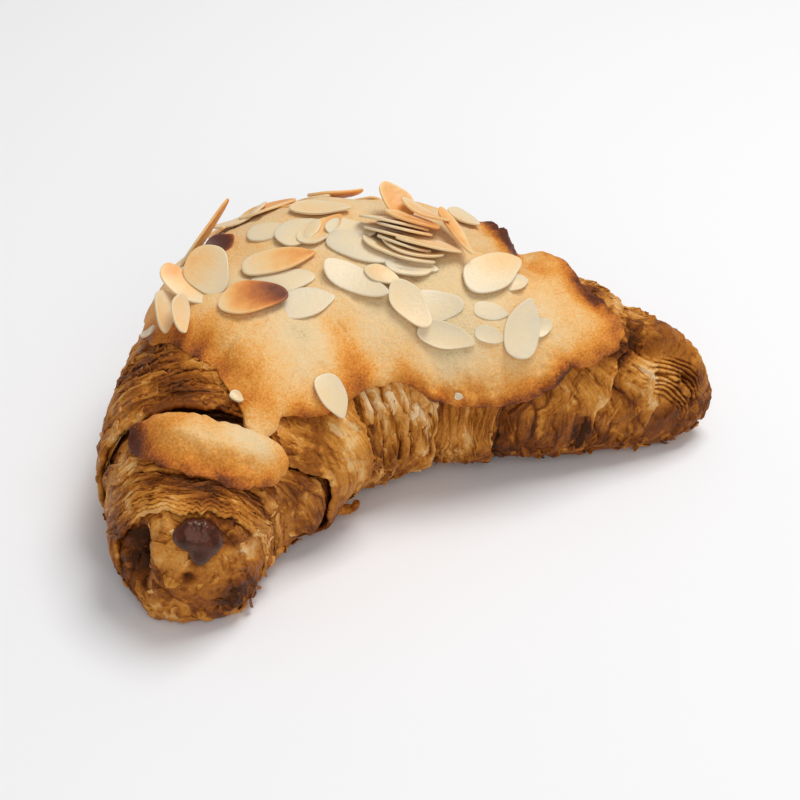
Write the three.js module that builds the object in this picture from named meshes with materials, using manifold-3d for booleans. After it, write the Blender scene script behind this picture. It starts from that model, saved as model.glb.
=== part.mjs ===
// Almond croissant: a crescent of rolled, laminated dough under a baked sheet of almond cream.
// A pad of the same cream sits on the left arm, a caramelised drop on the left tip, and flaked almonds
// lie, lean and stand in the sheet.
// Millimetres, +Z up. The origin is on the table under the middle of the outline, and X runs tip to tip.
import * as THREE from "three";
import { mergeVertices } from "three/addons/utils/BufferGeometryUtils.js";
import Module from "manifold-3d";

const wasm = await Module();
wasm.setup();

const TURN = 2 * Math.PI;
const radians = THREE.MathUtils.degToRad;

// Dough: cross-sections from the left tip (t = 0) to the right tip (t = 1), evenly spaced in t.
// Each row is the outer edge's x and y, the inner edge's x and y, and the height of the crown.
const SECTIONS = [
  [-85.0, -48.0, -63.5, -57.0, 33.0],
  [-86.5, -27.0, -46.5, -40.5, 39.0],
  [-74.0, 9.5, -29.5, -36.0, 46.0],
  [-43.0, 45.5, -9.0, -31.0, 53.5],
  [-7.5, 57.5, 6.0, -30.5, 58.0],
  [31.5, 42.0, 20.5, -35.5, 56.0],
  [58.5, 11.5, 44.5, -41.5, 46.0],
  [76.0, -16.5, 69.5, -45.5, 35.0],
  [88.0, -36.5, 86.5, -45.0, 25.0],
];
const TIP = 0.05; // share of the length over which each tip rounds off
const WIDEST = 0.42; // height of the widest level, as a share of the crown's
const SHOULDER = 0.9; // roundness of the upper half's sides
const CROWN = 0.95; // roundness of the crown
const FOOT = 0.62; // squareness of the lower half
const SETTLE = 1.2; // how far the round underside is pressed flat on the table

// Wraps of the roll: t where each wrap's free edge crosses the back, the crown and the front, and the
// step down from it towards its own tip.
const WRAPS = [
  { back: 0.05, top: 0.035, front: 0.07, step: 2.2, towards: -1 },
  { back: 0.11, top: 0.085, front: 0.13, step: 3.0, towards: -1 },
  { back: 0.2, top: 0.205, front: 0.235, step: 5.0, towards: -1 },
  { back: 0.41, top: 0.36, front: 0.32, step: 2.4, towards: 1 },
  { back: 0.56, top: 0.53, front: 0.49, step: 2.6, towards: 1 },
  { back: 0.7, top: 0.69, front: 0.62, step: 3.6, towards: 1 },
  { back: 0.82, top: 0.81, front: 0.78, step: 2.2, towards: 1 },
  { back: 0.92, top: 0.9, front: 0.88, step: 1.8, towards: 1 },
];
const RUN = 215; // length of the crown line, for turning t into millimetres
const WRAP_LIP = 1.3; // half the width of a wrap's step
const WRAP_REACH = 12; // how far a step's swelling runs along the dough
const PLY_HEIGHT = 0.45; // ridges of the laminated plies
const PLY_PITCH = 9;
const PLY_WAVER = 0.7;
const GAPE = { t: 0.715, half: 0.016, depth: 5, until: 105 }; // gap between two wraps on the back
const FLOOR_CLEAR = 8; // relief fades out below this height

// Almond cream: outlines on the dough as [t, degrees round it], 0 at the back, 90 on the crown, 180 in front.
const SHEET_CENTRE = [0.45, 100];
const SHEET_EDGE = [
  [0.268, 86],
  [0.245, 97],
  [0.224, 106],
  [0.2, 115],
  [0.172, 121],
  [0.175, 129],
  [0.21, 131],
  [0.234, 131],
  [0.256, 139],
  [0.285, 146],
  [0.32, 149],
  [0.37, 152],
  [0.42, 157],
  [0.455, 163],
  [0.485, 171],
  [0.53, 177],
  [0.59, 179],
  [0.65, 178],
  [0.7, 171],
  [0.735, 160],
  [0.78, 151],
  [0.815, 141],
  [0.833, 127],
  [0.822, 108],
  [0.79, 88],
  [0.75, 82],
  [0.715, 98],
  [0.685, 70],
  [0.62, 42],
  [0.52, 27],
  [0.42, 24],
  [0.34, 31],
  [0.298, 47],
  [0.284, 67],
];
const PAD_CENTRE = [0.15, 105];
const PAD_EDGE = [
  [0.15, 57],
  [0.135, 70],
  [0.112, 88],
  [0.095, 105],
  [0.088, 124],
  [0.105, 141],
  [0.13, 149],
  [0.165, 152],
  [0.196, 149],
  [0.205, 137],
  [0.192, 120],
  [0.189, 105],
  [0.2, 91],
  [0.204, 78],
  [0.199, 64],
  [0.184, 50],
  [0.16, 50],
];
const CREAM = 4.0; // thickness of the sheet
const PAD = 4.6; // thickness of the pad
const CREAM_LIP = 4.5; // width of the rounded rim
const CREAM_ROOT = 2.2; // how far the uncut pad reaches into the dough before it is trimmed
const CREAM_FOLLOWS = 0.6; // share of the wraps' relief that shows through the cream
const CREAM_DRAPE = 5; // half the width over which it drapes each step
const FIT_GAP = 0.35; // clearance between the dough and what lies on it
const WELD = 1e-3; // corners closer than this are one corner

// Caramelised drop on the left tip.
const DROP_AT = [0.015, 104];
const DROP_RADIUS = 5.7;
const DROP_HEIGHT = 3.6;
const DROP_SINK = 1.5;

// Flaked almonds lying in the sheet: [t, degrees, turn, length, width, lift]. Turn is measured from the way
// the dough runs towards the front, and lift from the top of the cream.
const LYING = [
  [0.342, 92, 60, 18, 12, 1.6],
  [0.376, 106, 40, 15, 10, 0.2],
  [0.404, 89, 40, 21, 9, 2.0],
  [0.383, 94, 42, 18, 10, 0.8],
  [0.44, 74, 50, 12, 9, 0.5],
  [0.46, 85, 25, 14, 11, 1.0],
  [0.478, 88, -15, 15, 9, 0.4],
  [0.495, 101, 55, 22, 9, 0.8],
  [0.506, 92, 38, 15, 9, 0.4],
  [0.452, 112, 68, 19, 8.5, 0.4],
  [0.49, 115, 50, 10, 5.5, 1.4],
  [0.502, 129, 72, 15, 9, 1.0],
  [0.547, 130, -2, 16, 9, 0.2],
  [0.545, 142, 18, 15, 7.5, 0.2],
  [0.542, 112, 18, 15, 6, 1.0],
  [0.3, 138, 105, 12, 8, 0.4],
  [0.65, 112, -45, 20, 12, 0.9],
  [0.669, 136, -78, 17, 10, 0.8],
  [0.63, 131, 0, 10, 5, 0.3],
  [0.621, 141, 13, 9, 4.5, 0.2],
  [0.694, 133, -28, 8, 5, 0.4],
  [0.678, 113, -40, 8, 5, 0.4],
  [0.478, 57, 15, 18, 9, 0.8],
  [0.506, 76, 39, 17, 9, 0.9],
  [0.649, 80, 43, 12, 7, 0.7],
];
// Flakes that stand or lean: the same, then the lean about the long side and the pitch of the pointed end.
const STANDING = [
  [0.36, 76, 130, 15, 13, 2.8, -20, -35],
  [0.34, 70, 110, 18, 8, 2.6, 15, -32],
  [0.306, 63, 168, 13, 7, 2.2, 70, -26],
  [0.303, 71, 165, 12, 6, 1.8, 65, -25],
  [0.405, 56, 28, 20, 8, 4.2, 30, 22],
  [0.58, 82, -150, 15, 9, 4.4, 20, 35],
  [0.626, 92, 35, 23, 8, 2.9, 34, -28],
];
// The fanned stack at the back: flakes on edge, one behind the other, from the front one to the last.
const STACK_COUNT = 9;
const STACK_FROM = [0.56, 108, 11, 19, 10, 1.3, 42, -2];
const STACK_TO = [0.573, 82, 11, 17, 10, 2.0, 24, -8];
// Flakes scattered over the far side, which the stack hides.
const FAR_COUNT = 7;
const FAR_T = [0.38, 0.6];
const FAR_DEG = [42, 60];
const FAR_LENGTH = [14, 18];
const FAR_ASPECT = 0.58;
const FAR_LIFT = 0.4;
const FAR_SEED = 7;

const FLAKE_THICK = 1.1;
const FLAKE_TAPER = 0.25; // how much narrower the pointed end is
const FLAKE_DOME = 0.35; // rise of the middle
const FLAKE_ROOT = 1.0; // how deep a lying flake is bedded in the cream
const STACK_FILL = 1.6; // cream baked between the flakes of the stack

// Facets.
const DOUGH_RINGS = 68;
const DOUGH_SIDES = 40;
const TIP_CROWDING = 0.55; // how much closer the rings stand at the tips
const SHEET_SIDES = 78;
const PAD_SIDES = 34;
const CREAM_RINGS = [0.1, 0.22, 0.36, 0.5, 0.64, 0.77, 0.87, 0.94, 0.98, 1];
const FLAKE_SIDES = 10;
const DROP_SIDES = 14;

// A value of each column at u from 0 to 1, on a Catmull-Rom curve through evenly spaced rows.
function through(rows, u, closed = false) {
  const count = rows.length;
  const spans = closed ? count : count - 1;
  const at = Math.min(Math.max(u, 0), 1) * spans;
  const k = Math.min(Math.floor(at), spans - 1);
  const f = at - k;
  const row = (i) => {
    if (closed) return rows[(i + count) % count];
    if (i < 0) return rows[0].map((v, c) => 2 * v - rows[1][c]);
    if (i >= count) return rows[count - 1].map((v, c) => 2 * v - rows[count - 2][c]);
    return rows[i];
  };
  const [a, b, c, d] = [k - 1, k, k + 1, k + 2].map(row);
  return b.map((_, i) => {
    const first = (c[i] - a[i]) * f;
    const second = (2 * a[i] - 5 * b[i] + 4 * c[i] - d[i]) * f * f;
    const third = (3 * b[i] - a[i] - 3 * c[i] + d[i]) * f ** 3;
    return b[i] + (first + second + third) / 2;
  });
}

const mix = (a, b, f) => a + (b - a) * f;
const signedPower = (v, p) => Math.sign(v) * Math.abs(v) ** p;

// The smooth dough without its wraps: t runs from tip to tip, phi goes round from the back over the crown.
function loft(t, phi) {
  const [outerX, outerY, innerX, innerY, height] = through(SECTIONS, t);
  const near = Math.min(Math.min(t, 1 - t) / TIP, 1);
  const round = Math.sqrt(Math.max(1 - (1 - near) ** 2, 0));
  const across = Math.cos(phi);
  const upward = Math.sin(phi);
  const belly = WIDEST * height;
  const side = round * signedPower(across, upward > 0 ? SHOULDER : FOOT);
  const z =
    upward > 0
      ? belly + (height - belly) * round * upward ** CROWN
      : belly - (belly + SETTLE) * round * Math.abs(upward) ** FOOT;
  return new THREE.Vector3(
    mix(innerX, outerX, (1 + side) / 2),
    mix(innerY, outerY, (1 + side) / 2),
    Math.max(z, 0),
  );
}

// Directions on the smooth dough: along it towards the right tip, and out of it.
function axesAt(t, phi) {
  const step = 1e-3;
  const along = loft(Math.min(t + step, 1), phi).sub(loft(Math.max(t - step, 0), phi)).normalize();
  const round = loft(t, phi + step).sub(loft(t, phi - step));
  return { along, out: round.cross(along).normalize() };
}

// Height of the wraps' steps at a point of the dough, each step spread over twice the lip.
function wrapRelief(t, phi, lip) {
  const open = 1 - THREE.MathUtils.smoothstep(phi, radians(GAPE.until - 20), radians(GAPE.until));
  let sum = -GAPE.depth * open * Math.exp(-(((t - GAPE.t) / GAPE.half) ** 2));
  for (const wrap of WRAPS) {
    const level = mix(wrap.back, wrap.front, (1 - Math.cos(phi)) / 2);
    const arch = (wrap.top - (wrap.back + wrap.front) / 2) * Math.max(Math.sin(phi), 0);
    const past = wrap.towards * (t - level - arch) * RUN;
    sum -= (wrap.step / 2) * Math.tanh(past / lip) * Math.exp(-Math.abs(past) / WRAP_REACH);
  }
  return sum;
}

// Height of the ridges of the laminated plies.
function plyRelief(t, phi) {
  return PLY_HEIGHT * Math.sin((t * RUN * TURN) / PLY_PITCH + PLY_WAVER * Math.sin(3 * phi));
}

// A point above the smooth dough by lift, which fades out near the table.
function raised(t, phi, lift) {
  const point = loft(t, phi);
  const firm = THREE.MathUtils.smoothstep(point.z, 0, FLOOR_CLEAR);
  point.addScaledVector(axesAt(t, phi).out, lift * firm);
  point.z = Math.max(point.z, 0);
  return point;
}

const onDough = (t, phi) => raised(t, phi, wrapRelief(t, phi, WRAP_LIP) + plyRelief(t, phi));
const onCream = (t, phi, lift) => raised(t, phi, CREAM_FOLLOWS * wrapRelief(t, phi, CREAM_DRAPE) + lift);

// A closed skin: a first and a last point, and rings of sides points between them.
function closedSkin(first, rings, last) {
  const sides = rings[0].length;
  const points = [first, ...rings.flat(), last];
  const end = points.length - 1;
  const index = [];
  for (let j = 0; j < sides; j++) {
    const next = (j + 1) % sides;
    index.push(0, 1 + j, 1 + next);
    for (let i = 0; i + 1 < rings.length; i++) {
      const here = 1 + i * sides;
      const there = here + sides;
      index.push(here + j, there + j, there + next, here + j, there + next, here + next);
    }
    const lastRing = 1 + (rings.length - 1) * sides;
    index.push(end, lastRing + next, lastRing + j);
  }
  return new THREE.BufferGeometry().setFromPoints(points).setIndex(index);
}

const around = (sides, make) => Array.from({ length: sides }, (_, j) => make((j / sides) * TURN));

function solidOf(geometry) {
  const bare = geometry.clone();
  bare.deleteAttribute("normal");
  const merged = mergeVertices(bare, WELD);
  return new wasm.Manifold(
    new wasm.Mesh({
      numProp: 3,
      vertProperties: merged.attributes.position.array,
      triVerts: new Uint32Array(merged.index.array),
    }),
  );
}

function geometryOf(solid) {
  const { vertProperties, triVerts } = solid.getMesh();
  const geometry = new THREE.BufferGeometry();
  geometry.setAttribute("position", new THREE.BufferAttribute(vertProperties, 3));
  return geometry.setIndex(new THREE.BufferAttribute(triVerts, 1));
}

// A solid's largest shell: hollows sealed by the joining are filled, and scraps left by a cut are dropped.
// Welding can pinch off another scrap, so it is repeated until a single shell is left.
function largestShell(solid) {
  let shells = [solid];
  do {
    const main = shells.sort((a, b) => b.volume() - a.volume())[0];
    shells = solidOf(geometryOf(main)).decompose();
  } while (shells.length > 1);
  return geometryOf(shells[0]);
}

function doughGeometry() {
  const rings = [];
  for (let i = 1; i < DOUGH_RINGS; i++) {
    const u = i / DOUGH_RINGS;
    const t = u - (TIP_CROWDING * Math.sin(TURN * u)) / TURN;
    rings.push(around(DOUGH_SIDES, (angle) => onDough(t, TURN - angle)));
  }
  return closedSkin(loft(0, 0), rings, loft(1, 0));
}

// The same skin moved outwards by a gap.
function grown(geometry, gap) {
  const copy = geometry.clone();
  copy.computeVertexNormals();
  const { position, normal } = copy.attributes;
  for (let i = 0; i < position.count; i++) {
    const out = new THREE.Vector3().fromBufferAttribute(normal, i);
    const moved = new THREE.Vector3().fromBufferAttribute(position, i).addScaledVector(out, gap);
    position.setXYZ(i, moved.x, moved.y, moved.z);
  }
  return copy;
}

// A layer of cream inside an outline: flat-topped, with a rounded rim, and rooted in the dough.
function creamLayer(centre, edge, thickness, sides) {
  const onLayer = (share, u, lift) => {
    const [t, degrees] = through(edge, u, true);
    const phi = radians(mix(centre[1], degrees, share));
    return onCream(mix(centre[0], t, share), phi, lift);
  };
  const ring = (share, lift) =>
    around(sides, (angle) => {
      const u = angle / TURN;
      const rim = onLayer(1, u, 0).distanceTo(onLayer(share, u, 0));
      const slope = 1 - Math.min(rim / CREAM_LIP, 1);
      return onLayer(share, u, lift(Math.sqrt(1 - slope ** 2)));
    });
  const top = CREAM_RINGS.map((share) => ring(share, (round) => thickness * round));
  const root = CREAM_RINGS.toReversed().map((share) => ring(share, () => -CREAM_ROOT));
  const skin = closedSkin(onLayer(0, 0, thickness), [...top, ...root], onLayer(0, 0, -CREAM_ROOT));
  return solidOf(skin);
}

// One almond flake: a thin oval with a domed top and one pointed end, in its own axes, long side along X.
// Its underside reaches down by depth.
function flakeGeometry(length, width, depth) {
  const outline = (z) =>
    around(FLAKE_SIDES, (angle) => {
      const half = (width / 2) * (1 - FLAKE_TAPER * Math.cos(angle));
      return new THREE.Vector3((length / 2) * Math.cos(angle), half * Math.sin(angle), z);
    });
  const upper = new THREE.Vector3(0, 0, FLAKE_THICK / 2 + FLAKE_DOME);
  const lower = new THREE.Vector3(0, 0, -depth - FLAKE_DOME);
  return closedSkin(upper, [outline(FLAKE_THICK / 2), outline(-depth)], lower);
}

// A flake set on the cream: leaned about its long side, pitched at its point, turned and lifted.
function flakeOn(depth, [t, degrees, turn, length, width, lift, lean = 0, pitch = 0]) {
  const phi = radians(degrees);
  const { along, out } = axesAt(t, phi);
  const place = new THREE.Matrix4().makeBasis(along, out.clone().cross(along), out);
  place.setPosition(onCream(t, phi, CREAM + lift));
  place.multiply(new THREE.Matrix4().makeRotationZ(radians(-turn)));
  place.multiply(new THREE.Matrix4().makeRotationY(radians(-pitch)));
  place.multiply(new THREE.Matrix4().makeRotationX(radians(-lean)));
  return solidOf(flakeGeometry(length, width, depth).applyMatrix4(place));
}

// Even numbers from 0 to 1 that are the same on each run.
function seededDraws(seed) {
  let state = seed;
  return () => {
    state = (state * 1103515245 + 12345) % 2147483648;
    return state / 2147483648;
  };
}

function almondFlakes() {
  const bedded = (row) => flakeOn(row[5] + FLAKE_ROOT, row);
  const flakes = LYING.map(bedded);
  flakes.push(...STANDING.map((row) => flakeOn(FLAKE_THICK / 2, row)));
  for (let k = 0; k < STACK_COUNT; k++) {
    const f = k / (STACK_COUNT - 1);
    const row = STACK_FROM.map((from, i) => mix(from, STACK_TO[i], f));
    flakes.push(flakeOn(STACK_FILL, row));
  }
  const draw = seededDraws(FAR_SEED);
  for (let k = 0; k < FAR_COUNT; k++) {
    const t = mix(...FAR_T, (k + draw()) / FAR_COUNT);
    const deg = mix(...FAR_DEG, draw());
    const length = mix(...FAR_LENGTH, draw());
    flakes.push(bedded([t, deg, draw() * 180, length, length * FAR_ASPECT, FAR_LIFT]));
  }
  return flakes;
}

function dropSolid() {
  const [t, degrees] = DROP_AT;
  const phi = radians(degrees);
  const { along, out } = axesAt(t, phi);
  const seat = onDough(t, phi);
  const sideways = out.clone().cross(along);
  const level = (share, height) =>
    around(DROP_SIDES, (angle) =>
      seat
        .clone()
        .addScaledVector(along, DROP_RADIUS * share * Math.cos(angle))
        .addScaledVector(sideways, DROP_RADIUS * share * Math.sin(angle))
        .addScaledVector(out, height),
    );
  const dome = [0.5, 0.8, 1].map((share) => level(share, DROP_HEIGHT * Math.sqrt(1 - share ** 2)));
  const peak = seat.clone().addScaledVector(out, DROP_HEIGHT);
  const base = seat.clone().addScaledVector(out, -DROP_SINK);
  return solidOf(closedSkin(peak, [...dome, level(1, -DROP_SINK)], base));
}

const dough = doughGeometry();
const seat = solidOf(grown(dough, FIT_GAP));
const layers = creamLayer(SHEET_CENTRE, SHEET_EDGE, CREAM, SHEET_SIDES).add(
  creamLayer(PAD_CENTRE, PAD_EDGE, PAD, PAD_SIDES),
);
const topping = almondFlakes().reduce((joined, flake) => joined.add(flake), layers);

const croissant = new THREE.Group();
function addPiece(name, geometry, color, roughness) {
  const mesh = new THREE.Mesh(geometry, new THREE.MeshStandardMaterial({ color, roughness, metalness: 0 }));
  mesh.name = name;
  croissant.add(mesh);
}
addPiece("dough", dough, 0xa5662c, 0.6);
addPiece("almond_cream", largestShell(topping.subtract(seat)), 0xdfb070, 0.65);
addPiece("caramel_drop", largestShell(dropSolid().subtract(seat)), 0x4a2318, 0.35);

// The middle of the outline over the origin.
const middle = new THREE.Box3().setFromObject(croissant).getCenter(new THREE.Vector3());
croissant.children.forEach((mesh) => mesh.geometry.translate(-middle.x, -middle.y, 0));

export default croissant;
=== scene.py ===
from collections import namedtuple

import bpy
import numpy as np
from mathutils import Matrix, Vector


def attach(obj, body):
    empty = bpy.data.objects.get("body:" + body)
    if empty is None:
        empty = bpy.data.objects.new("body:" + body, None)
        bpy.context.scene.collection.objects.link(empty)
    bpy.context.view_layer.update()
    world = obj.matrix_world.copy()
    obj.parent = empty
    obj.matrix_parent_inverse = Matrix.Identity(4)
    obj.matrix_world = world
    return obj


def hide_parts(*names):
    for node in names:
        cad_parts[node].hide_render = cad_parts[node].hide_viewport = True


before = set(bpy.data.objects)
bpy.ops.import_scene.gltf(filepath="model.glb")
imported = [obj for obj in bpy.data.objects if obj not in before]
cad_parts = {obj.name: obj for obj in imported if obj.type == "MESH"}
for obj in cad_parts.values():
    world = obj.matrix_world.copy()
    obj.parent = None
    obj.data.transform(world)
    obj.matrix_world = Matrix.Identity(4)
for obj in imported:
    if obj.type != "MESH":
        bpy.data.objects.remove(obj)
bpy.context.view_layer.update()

# Almond croissant. Shapes are worked out in millimetres and put into the meshes in metres.
MM = 0.001
TURN = 2 * np.pi
SMALL_STEP = 1e-3  # in t or radians, to measure slopes
NOISE_GAIN = 1.6  # brings gradient noise to about -1 to 1
ARC_STEPS = 400  # steps in which the dough's length is measured

# Dough: cross-sections from the left tip (t = 0) to the right tip (t = 1), evenly spaced in t. Each row is
# the outer edge's x and y, the inner edge's x and y, and the height of the crown. Round a section, 0 degrees
# is the back, 90 the crown, 180 the front and 270 the underside.
SECTIONS = np.array([
    [-85.0, -48.0, -63.5, -57.0, 33.0],
    [-86.5, -27.0, -46.5, -40.5, 39.0],
    [-74.0, 9.5, -29.5, -36.0, 46.0],
    [-43.0, 45.5, -9.0, -31.0, 53.5],
    [-7.5, 57.5, 6.0, -30.5, 58.0],
    [31.5, 42.0, 20.5, -35.5, 56.0],
    [58.5, 11.5, 44.5, -41.5, 46.0],
    [76.0, -16.5, 69.5, -45.5, 35.0],
    [88.0, -36.5, 86.5, -45.0, 25.0],
])
MIDDLE = np.array([0.0, 1.55, 0.0])  # middle of the outline, which the solids have at the origin
TIP = 0.05  # t over which a tip is rounded
TIP_UNDER = 0.13  # the right tip's underside is rounded over a longer run
TIP_UNDER_FADE = (0.0, 0.8)
WIDEST = 0.42  # where a section is widest, as a share of the crown's height
SHOULDER = 0.9  # powers that shape a section: the sides above, the crown, and all below the widest place
CROWN = 0.95
FOOT = 0.62
SETTLE = 1.2  # how far the round underside would reach below the table, which flattens it
FLOOR_CLEAR = 8.0  # height over which relief fades in above the table
GIRTH = 35.0  # mean radius of a section

# Free edges of the wraps, from left to right: t on the back, on the crown and in front, the step down from
# the edge, the way it faces, how much t grows up the front where the edge lies aslant, and how far it bulges
# to one side there.
Edge = namedtuple("Edge", "back top front step way slant bulge")
WRAP_EDGES = [
    Edge(0.115, 0.04, 0.08, 1.8, -1, 0.0, 0.0),
    Edge(0.175, 0.11, 0.115, 1.8, -1, 0.0, 0.0),
    Edge(0.2, 0.205, 0.24, 4.0, -1, 0.0, -0.048),
    Edge(0.41, 0.36, 0.325, 3.8, 1, 0.0, 0.0),
    Edge(0.56, 0.53, 0.49, 2.6, 1, 0.0, 0.0),
    Edge(0.7, 0.69, 0.62, 3.6, 1, 0.0, 0.0),
    Edge(0.82, 0.8, 0.77, 2.2, 1, 0.05, 0.0),
    Edge(0.9, 0.875, 0.85, 0.7, 1, 0.02, 0.0),
]
BULGE_FROM, BULGE_TO = (115, 145), (145, 175)  # degrees over which an edge's bulge grows and fades
RUN = 215.0  # mean length of the dough in mm, for one unit of t
WRAP_REACH = 12.0  # how far from its edge a wrap's step fades
# Jags of the edges: height in mm, size on a ring of radius 1, and seed.
RAGGED = [(1.6, 0.5, 8), (1.2, 0.25, 5), (0.8, 0.09, 6), (0.4, 0.035, 7)]
EDGE_SPACING = 3.1  # sets the edges apart in that noise
LIP_RADIUS = 0.8  # an edge is rolled over this radius
LIP_ANGLES = np.radians(np.linspace(-90, 80, 9))[:, None]
LIP_TUCK = 5.0  # how far the rolled edge is tucked in below
LIP_TUCK_ROWS = 3
LIP_CALM, LIP_CALM_REACH = 0.3, 1.5  # share of the flakes' height on the lip, and where it is full
LIP_PALE, LIP_PALE_REACH = 0.05, 0.9  # how much paler the lip is, and how far in
HIDDEN = 7.0  # how far a wrap runs on under the next
UNDER_SLOPE = 0.25  # how steeply it goes down there
COVER_SHADE, COVER_SHADE_STEP, COVER_SHADE_REACH = 0.35, 2.4, 2.5  # painted shade in the bake, in the corner below a step
POLE_GAP = 1e-4  # t left between the last ring and a tip
TIP_CROWDING = 1.7  # power that crowds the rows towards a tip
FAR_OFF = 40.0  # distance to an edge where a wrap has none

# Gap between two wraps on the back: its t, half its width in t, its depth in mm, and the degrees where it
# ends and over which it fades.
GAPE_T, GAPE_HALF, GAPE_DEPTH, GAPE_UNTIL, GAPE_FADE = 0.71, 0.016, 5.0, 105.0, 20.0

# Skin of a wrap, in mm: height, pitch and stray of the torn plies, how much wider the ply at the free edge
# is, the share of their height left in front, height and spacing of the folds, and heights of the fibres,
# torn patches, blisters and pits.
Skin = namedtuple("Skin", "ply pitch stray lead front fold gap fibre torn blister pit")
# Each wrap from left to right: rows along and columns round its mesh, and its skin.
WRAPS = [
    (120, 320, Skin(0.3, 3.0, 0.8, 0, 1.0, 0.3, 5.0, 0.15, 0.9, 1.4, 0.35)),
    (100, 340, Skin(1.0, 1.4, 0.5, 0, 1.0, 0.2, 5.0, 0.1, 0.4, 0.6, 0.2)),
    (130, 340, Skin(0.9, 2.2, 0.5, 0, 0.6, 0.3, 5.0, 0.15, 0.5, 0.9, 0.3)),
    (200, 420, Skin(1.1, 2.8, 0.6, 8, 0.3, 0.3, 5.0, 0.15, 0.6, 0.8, 0.2)),
    (170, 440, Skin(0.4, 5.0, 0.8, 0, 1.0, 2.2, 4.4, 0.35, 0.7, 0.5, 0.3)),
    (140, 420, Skin(0.4, 3.0, 0.6, 0, 1.0, 0.5, 2.6, 0.35, 0.4, 0.4, 0.1)),
    (140, 360, Skin(0.4, 4.6, 0.8, 0, 1.0, 0.7, 7.0, 0.15, 0.5, 0.8, 0.2)),
    (110, 340, Skin(0.15, 3.4, 0.8, 0, 1.0, 1.0, 8.0, 0.15, 0.6, 1.7, 0.4)),
    (150, 320, Skin(0.2, 2.4, 0.8, 0, 1.0, 0.4, 6.0, 0.1, 0.4, 1.0, 0.3)),
]
TIP_GRAIN = np.array([0.4, 1.0, 1.0])  # how the grain is squeezed at the tips, where it runs all ways
TIP_SWIRL, TIP_SWIRL_SIZE, TIP_SWIRL_SEEDS = 4.0, 9.0, (33, 34, 35)
FRONT_FROM, FRONT_TO = (138, 160), (300, 330)  # degrees over which the front starts and ends

# Noise of the skin: its size in mm, or its sizes along the dough and round it, and its seed.
PLY_SWAY = (12.0, 30.0, 30.0), 43
PLY_FRAY, PLY_FRINGE = (3.4, 44), (1.2, 47)
PLY_PATCH = 13.0, 45
FOLD_JITTER = 5.0, 41
FOLD_PATCH = (8.0, 13.0, 13.0), 53
FIBRE_WARP = 7.0, 40
FIBRE = (1.2, 12.0, 12.0), 48
TEAR = (4.0, 9.0, 9.0), 49
TEAR_FRAY = 1.7, 50
BLISTER = 5.0, 46
PIT = 1.9, 52
FOLD_SWAY_GAPS, FOLD_SWAY_ROUND, FOLD_SWAY_SEED = 2.5, 22.0, 42  # the first in the folds' own spacing

# How that noise is used: amounts in mm or in spacings, and the levels between which a patch comes up.
PLY_FRAY_DEPTH, PLY_FRINGE_DEPTH = 0.2, 0.15
PLY_PATCH_LEAST, PLY_PATCH_LEVELS = 0.2, (-0.35, 0.25)
PLY_SHALLOW, PLY_DEEPER, PLY_DEEPER_ABOVE = 0.7, 0.8, 0.45  # one ply in three or so is deeper
PLY_CRISP, PLY_CRISP_DIP = 0.25, 0.35  # width of the crisp edge, and how much lower it is
PLY_GAP = (0.8, 1.0)  # last share of a ply, in the shadow of the next
FOLD_SWAY, FOLD_JITTERS = 1.2, 0.3
FOLD_PATCH_LEAST, FOLD_PATCH_LEVELS = 0.15, (-0.3, 0.35)
FOLD_MEAN = 0.7  # level of a rope that is left as high as the smooth dough
FIBRE_WARPS = 1.5
TEAR_FRAYS, TEAR_LEVELS = 0.4, (0.26, 0.34)
PIT_LEVELS = (0.42, 0.58)
# A sine of a ply's number times one of the first two seems random; the shift tells the wraps apart.
SCRAMBLE, TINT_SCRAMBLE, TINT_SHIFT = 78.233, 12.9898, 31

# How the skin changes the bake, with painted shade in the plies' gaps, between the folds and in the pits, and
# a painted highlight on the folds' crests.
PLY_TINT, PLY_CRISP_PALE, PLY_GAP_SHADE = 0.07, 0.12, 0.5
FOLD_GAP_SHADE, FOLD_RIDGE_HIGHLIGHT = 0.6, 0.16
FIBRE_PALE, TEAR_PALE, BLISTER_DARK, PIT_SHADE = 0.08, 0.2, 0.1, 0.35

# Bake of the crust, from 0 for pale to 1 for burnt: its mean, its slow noise, and the darker foot.
BAKE_MEAN = 0.46
BAKE_DRIFT, BAKE_DRIFT_SIZE, BAKE_DRIFT_SEED = 0.22, 22.0, 31
FOOT_DARK, FOOT_DARK_HEIGHT = 0.16, (2.0, 20.0)

# Hollows pressed into the dough, or swellings where the depth is negative: the wrap, t, degrees, radius and
# depth in mm.
HOLLOWS = [
    (0, 0.068, 29, 4.2, 5.0),
    (0, 0.066, 16, 5.0, 8.0),
    (0, 0.056, 1, 4.5, 6.0),
    (0, 0.002, 52, 1.8, 1.8),
    (0, 0.006, 93, 1.6, 1.6),
    (2, 0.2, 80, 6.0, 1.5),
    (2, 0.2, 105, 6.0, 1.5),
    (2, 0.24, 182, 6.0, -2.0),
    (3, 0.245, 98, 7.0, 0.8),
    (3, 0.225, 108, 7.0, 0.8),
    (3, 0.29, 172, 11.0, -2.0),
    (3, 0.312, 206, 6.5, 5.0),
    (4, 0.312, 206, 6.5, 5.0),
    (6, 0.635, 182, 5.0, 1.5),
    (6, 0.79, 84, 6.0, -1.0),
    (6, 0.8, 97, 5.0, -1.2),
    (7, 0.866, 108, 7.0, -1.6),
    (7, 0.83, 131, 3.2, 1.6),
    (7, 0.85, 129, 3.2, 2.2),
    (7, 0.872, 126, 3.2, 2.2),
    (8, 0.888, 104, 6.0, -2.0),
    (8, 0.866, 108, 7.0, -1.6),
    (8, 0.85, 129, 3.2, 2.2),
    (8, 0.872, 126, 3.2, 2.2),
    (8, 0.893, 123, 3.2, 2.0),
    (8, 0.915, 121, 3.2, 1.6),
    (8, 0.922, 148, 1.8, 3.2),
]

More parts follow.
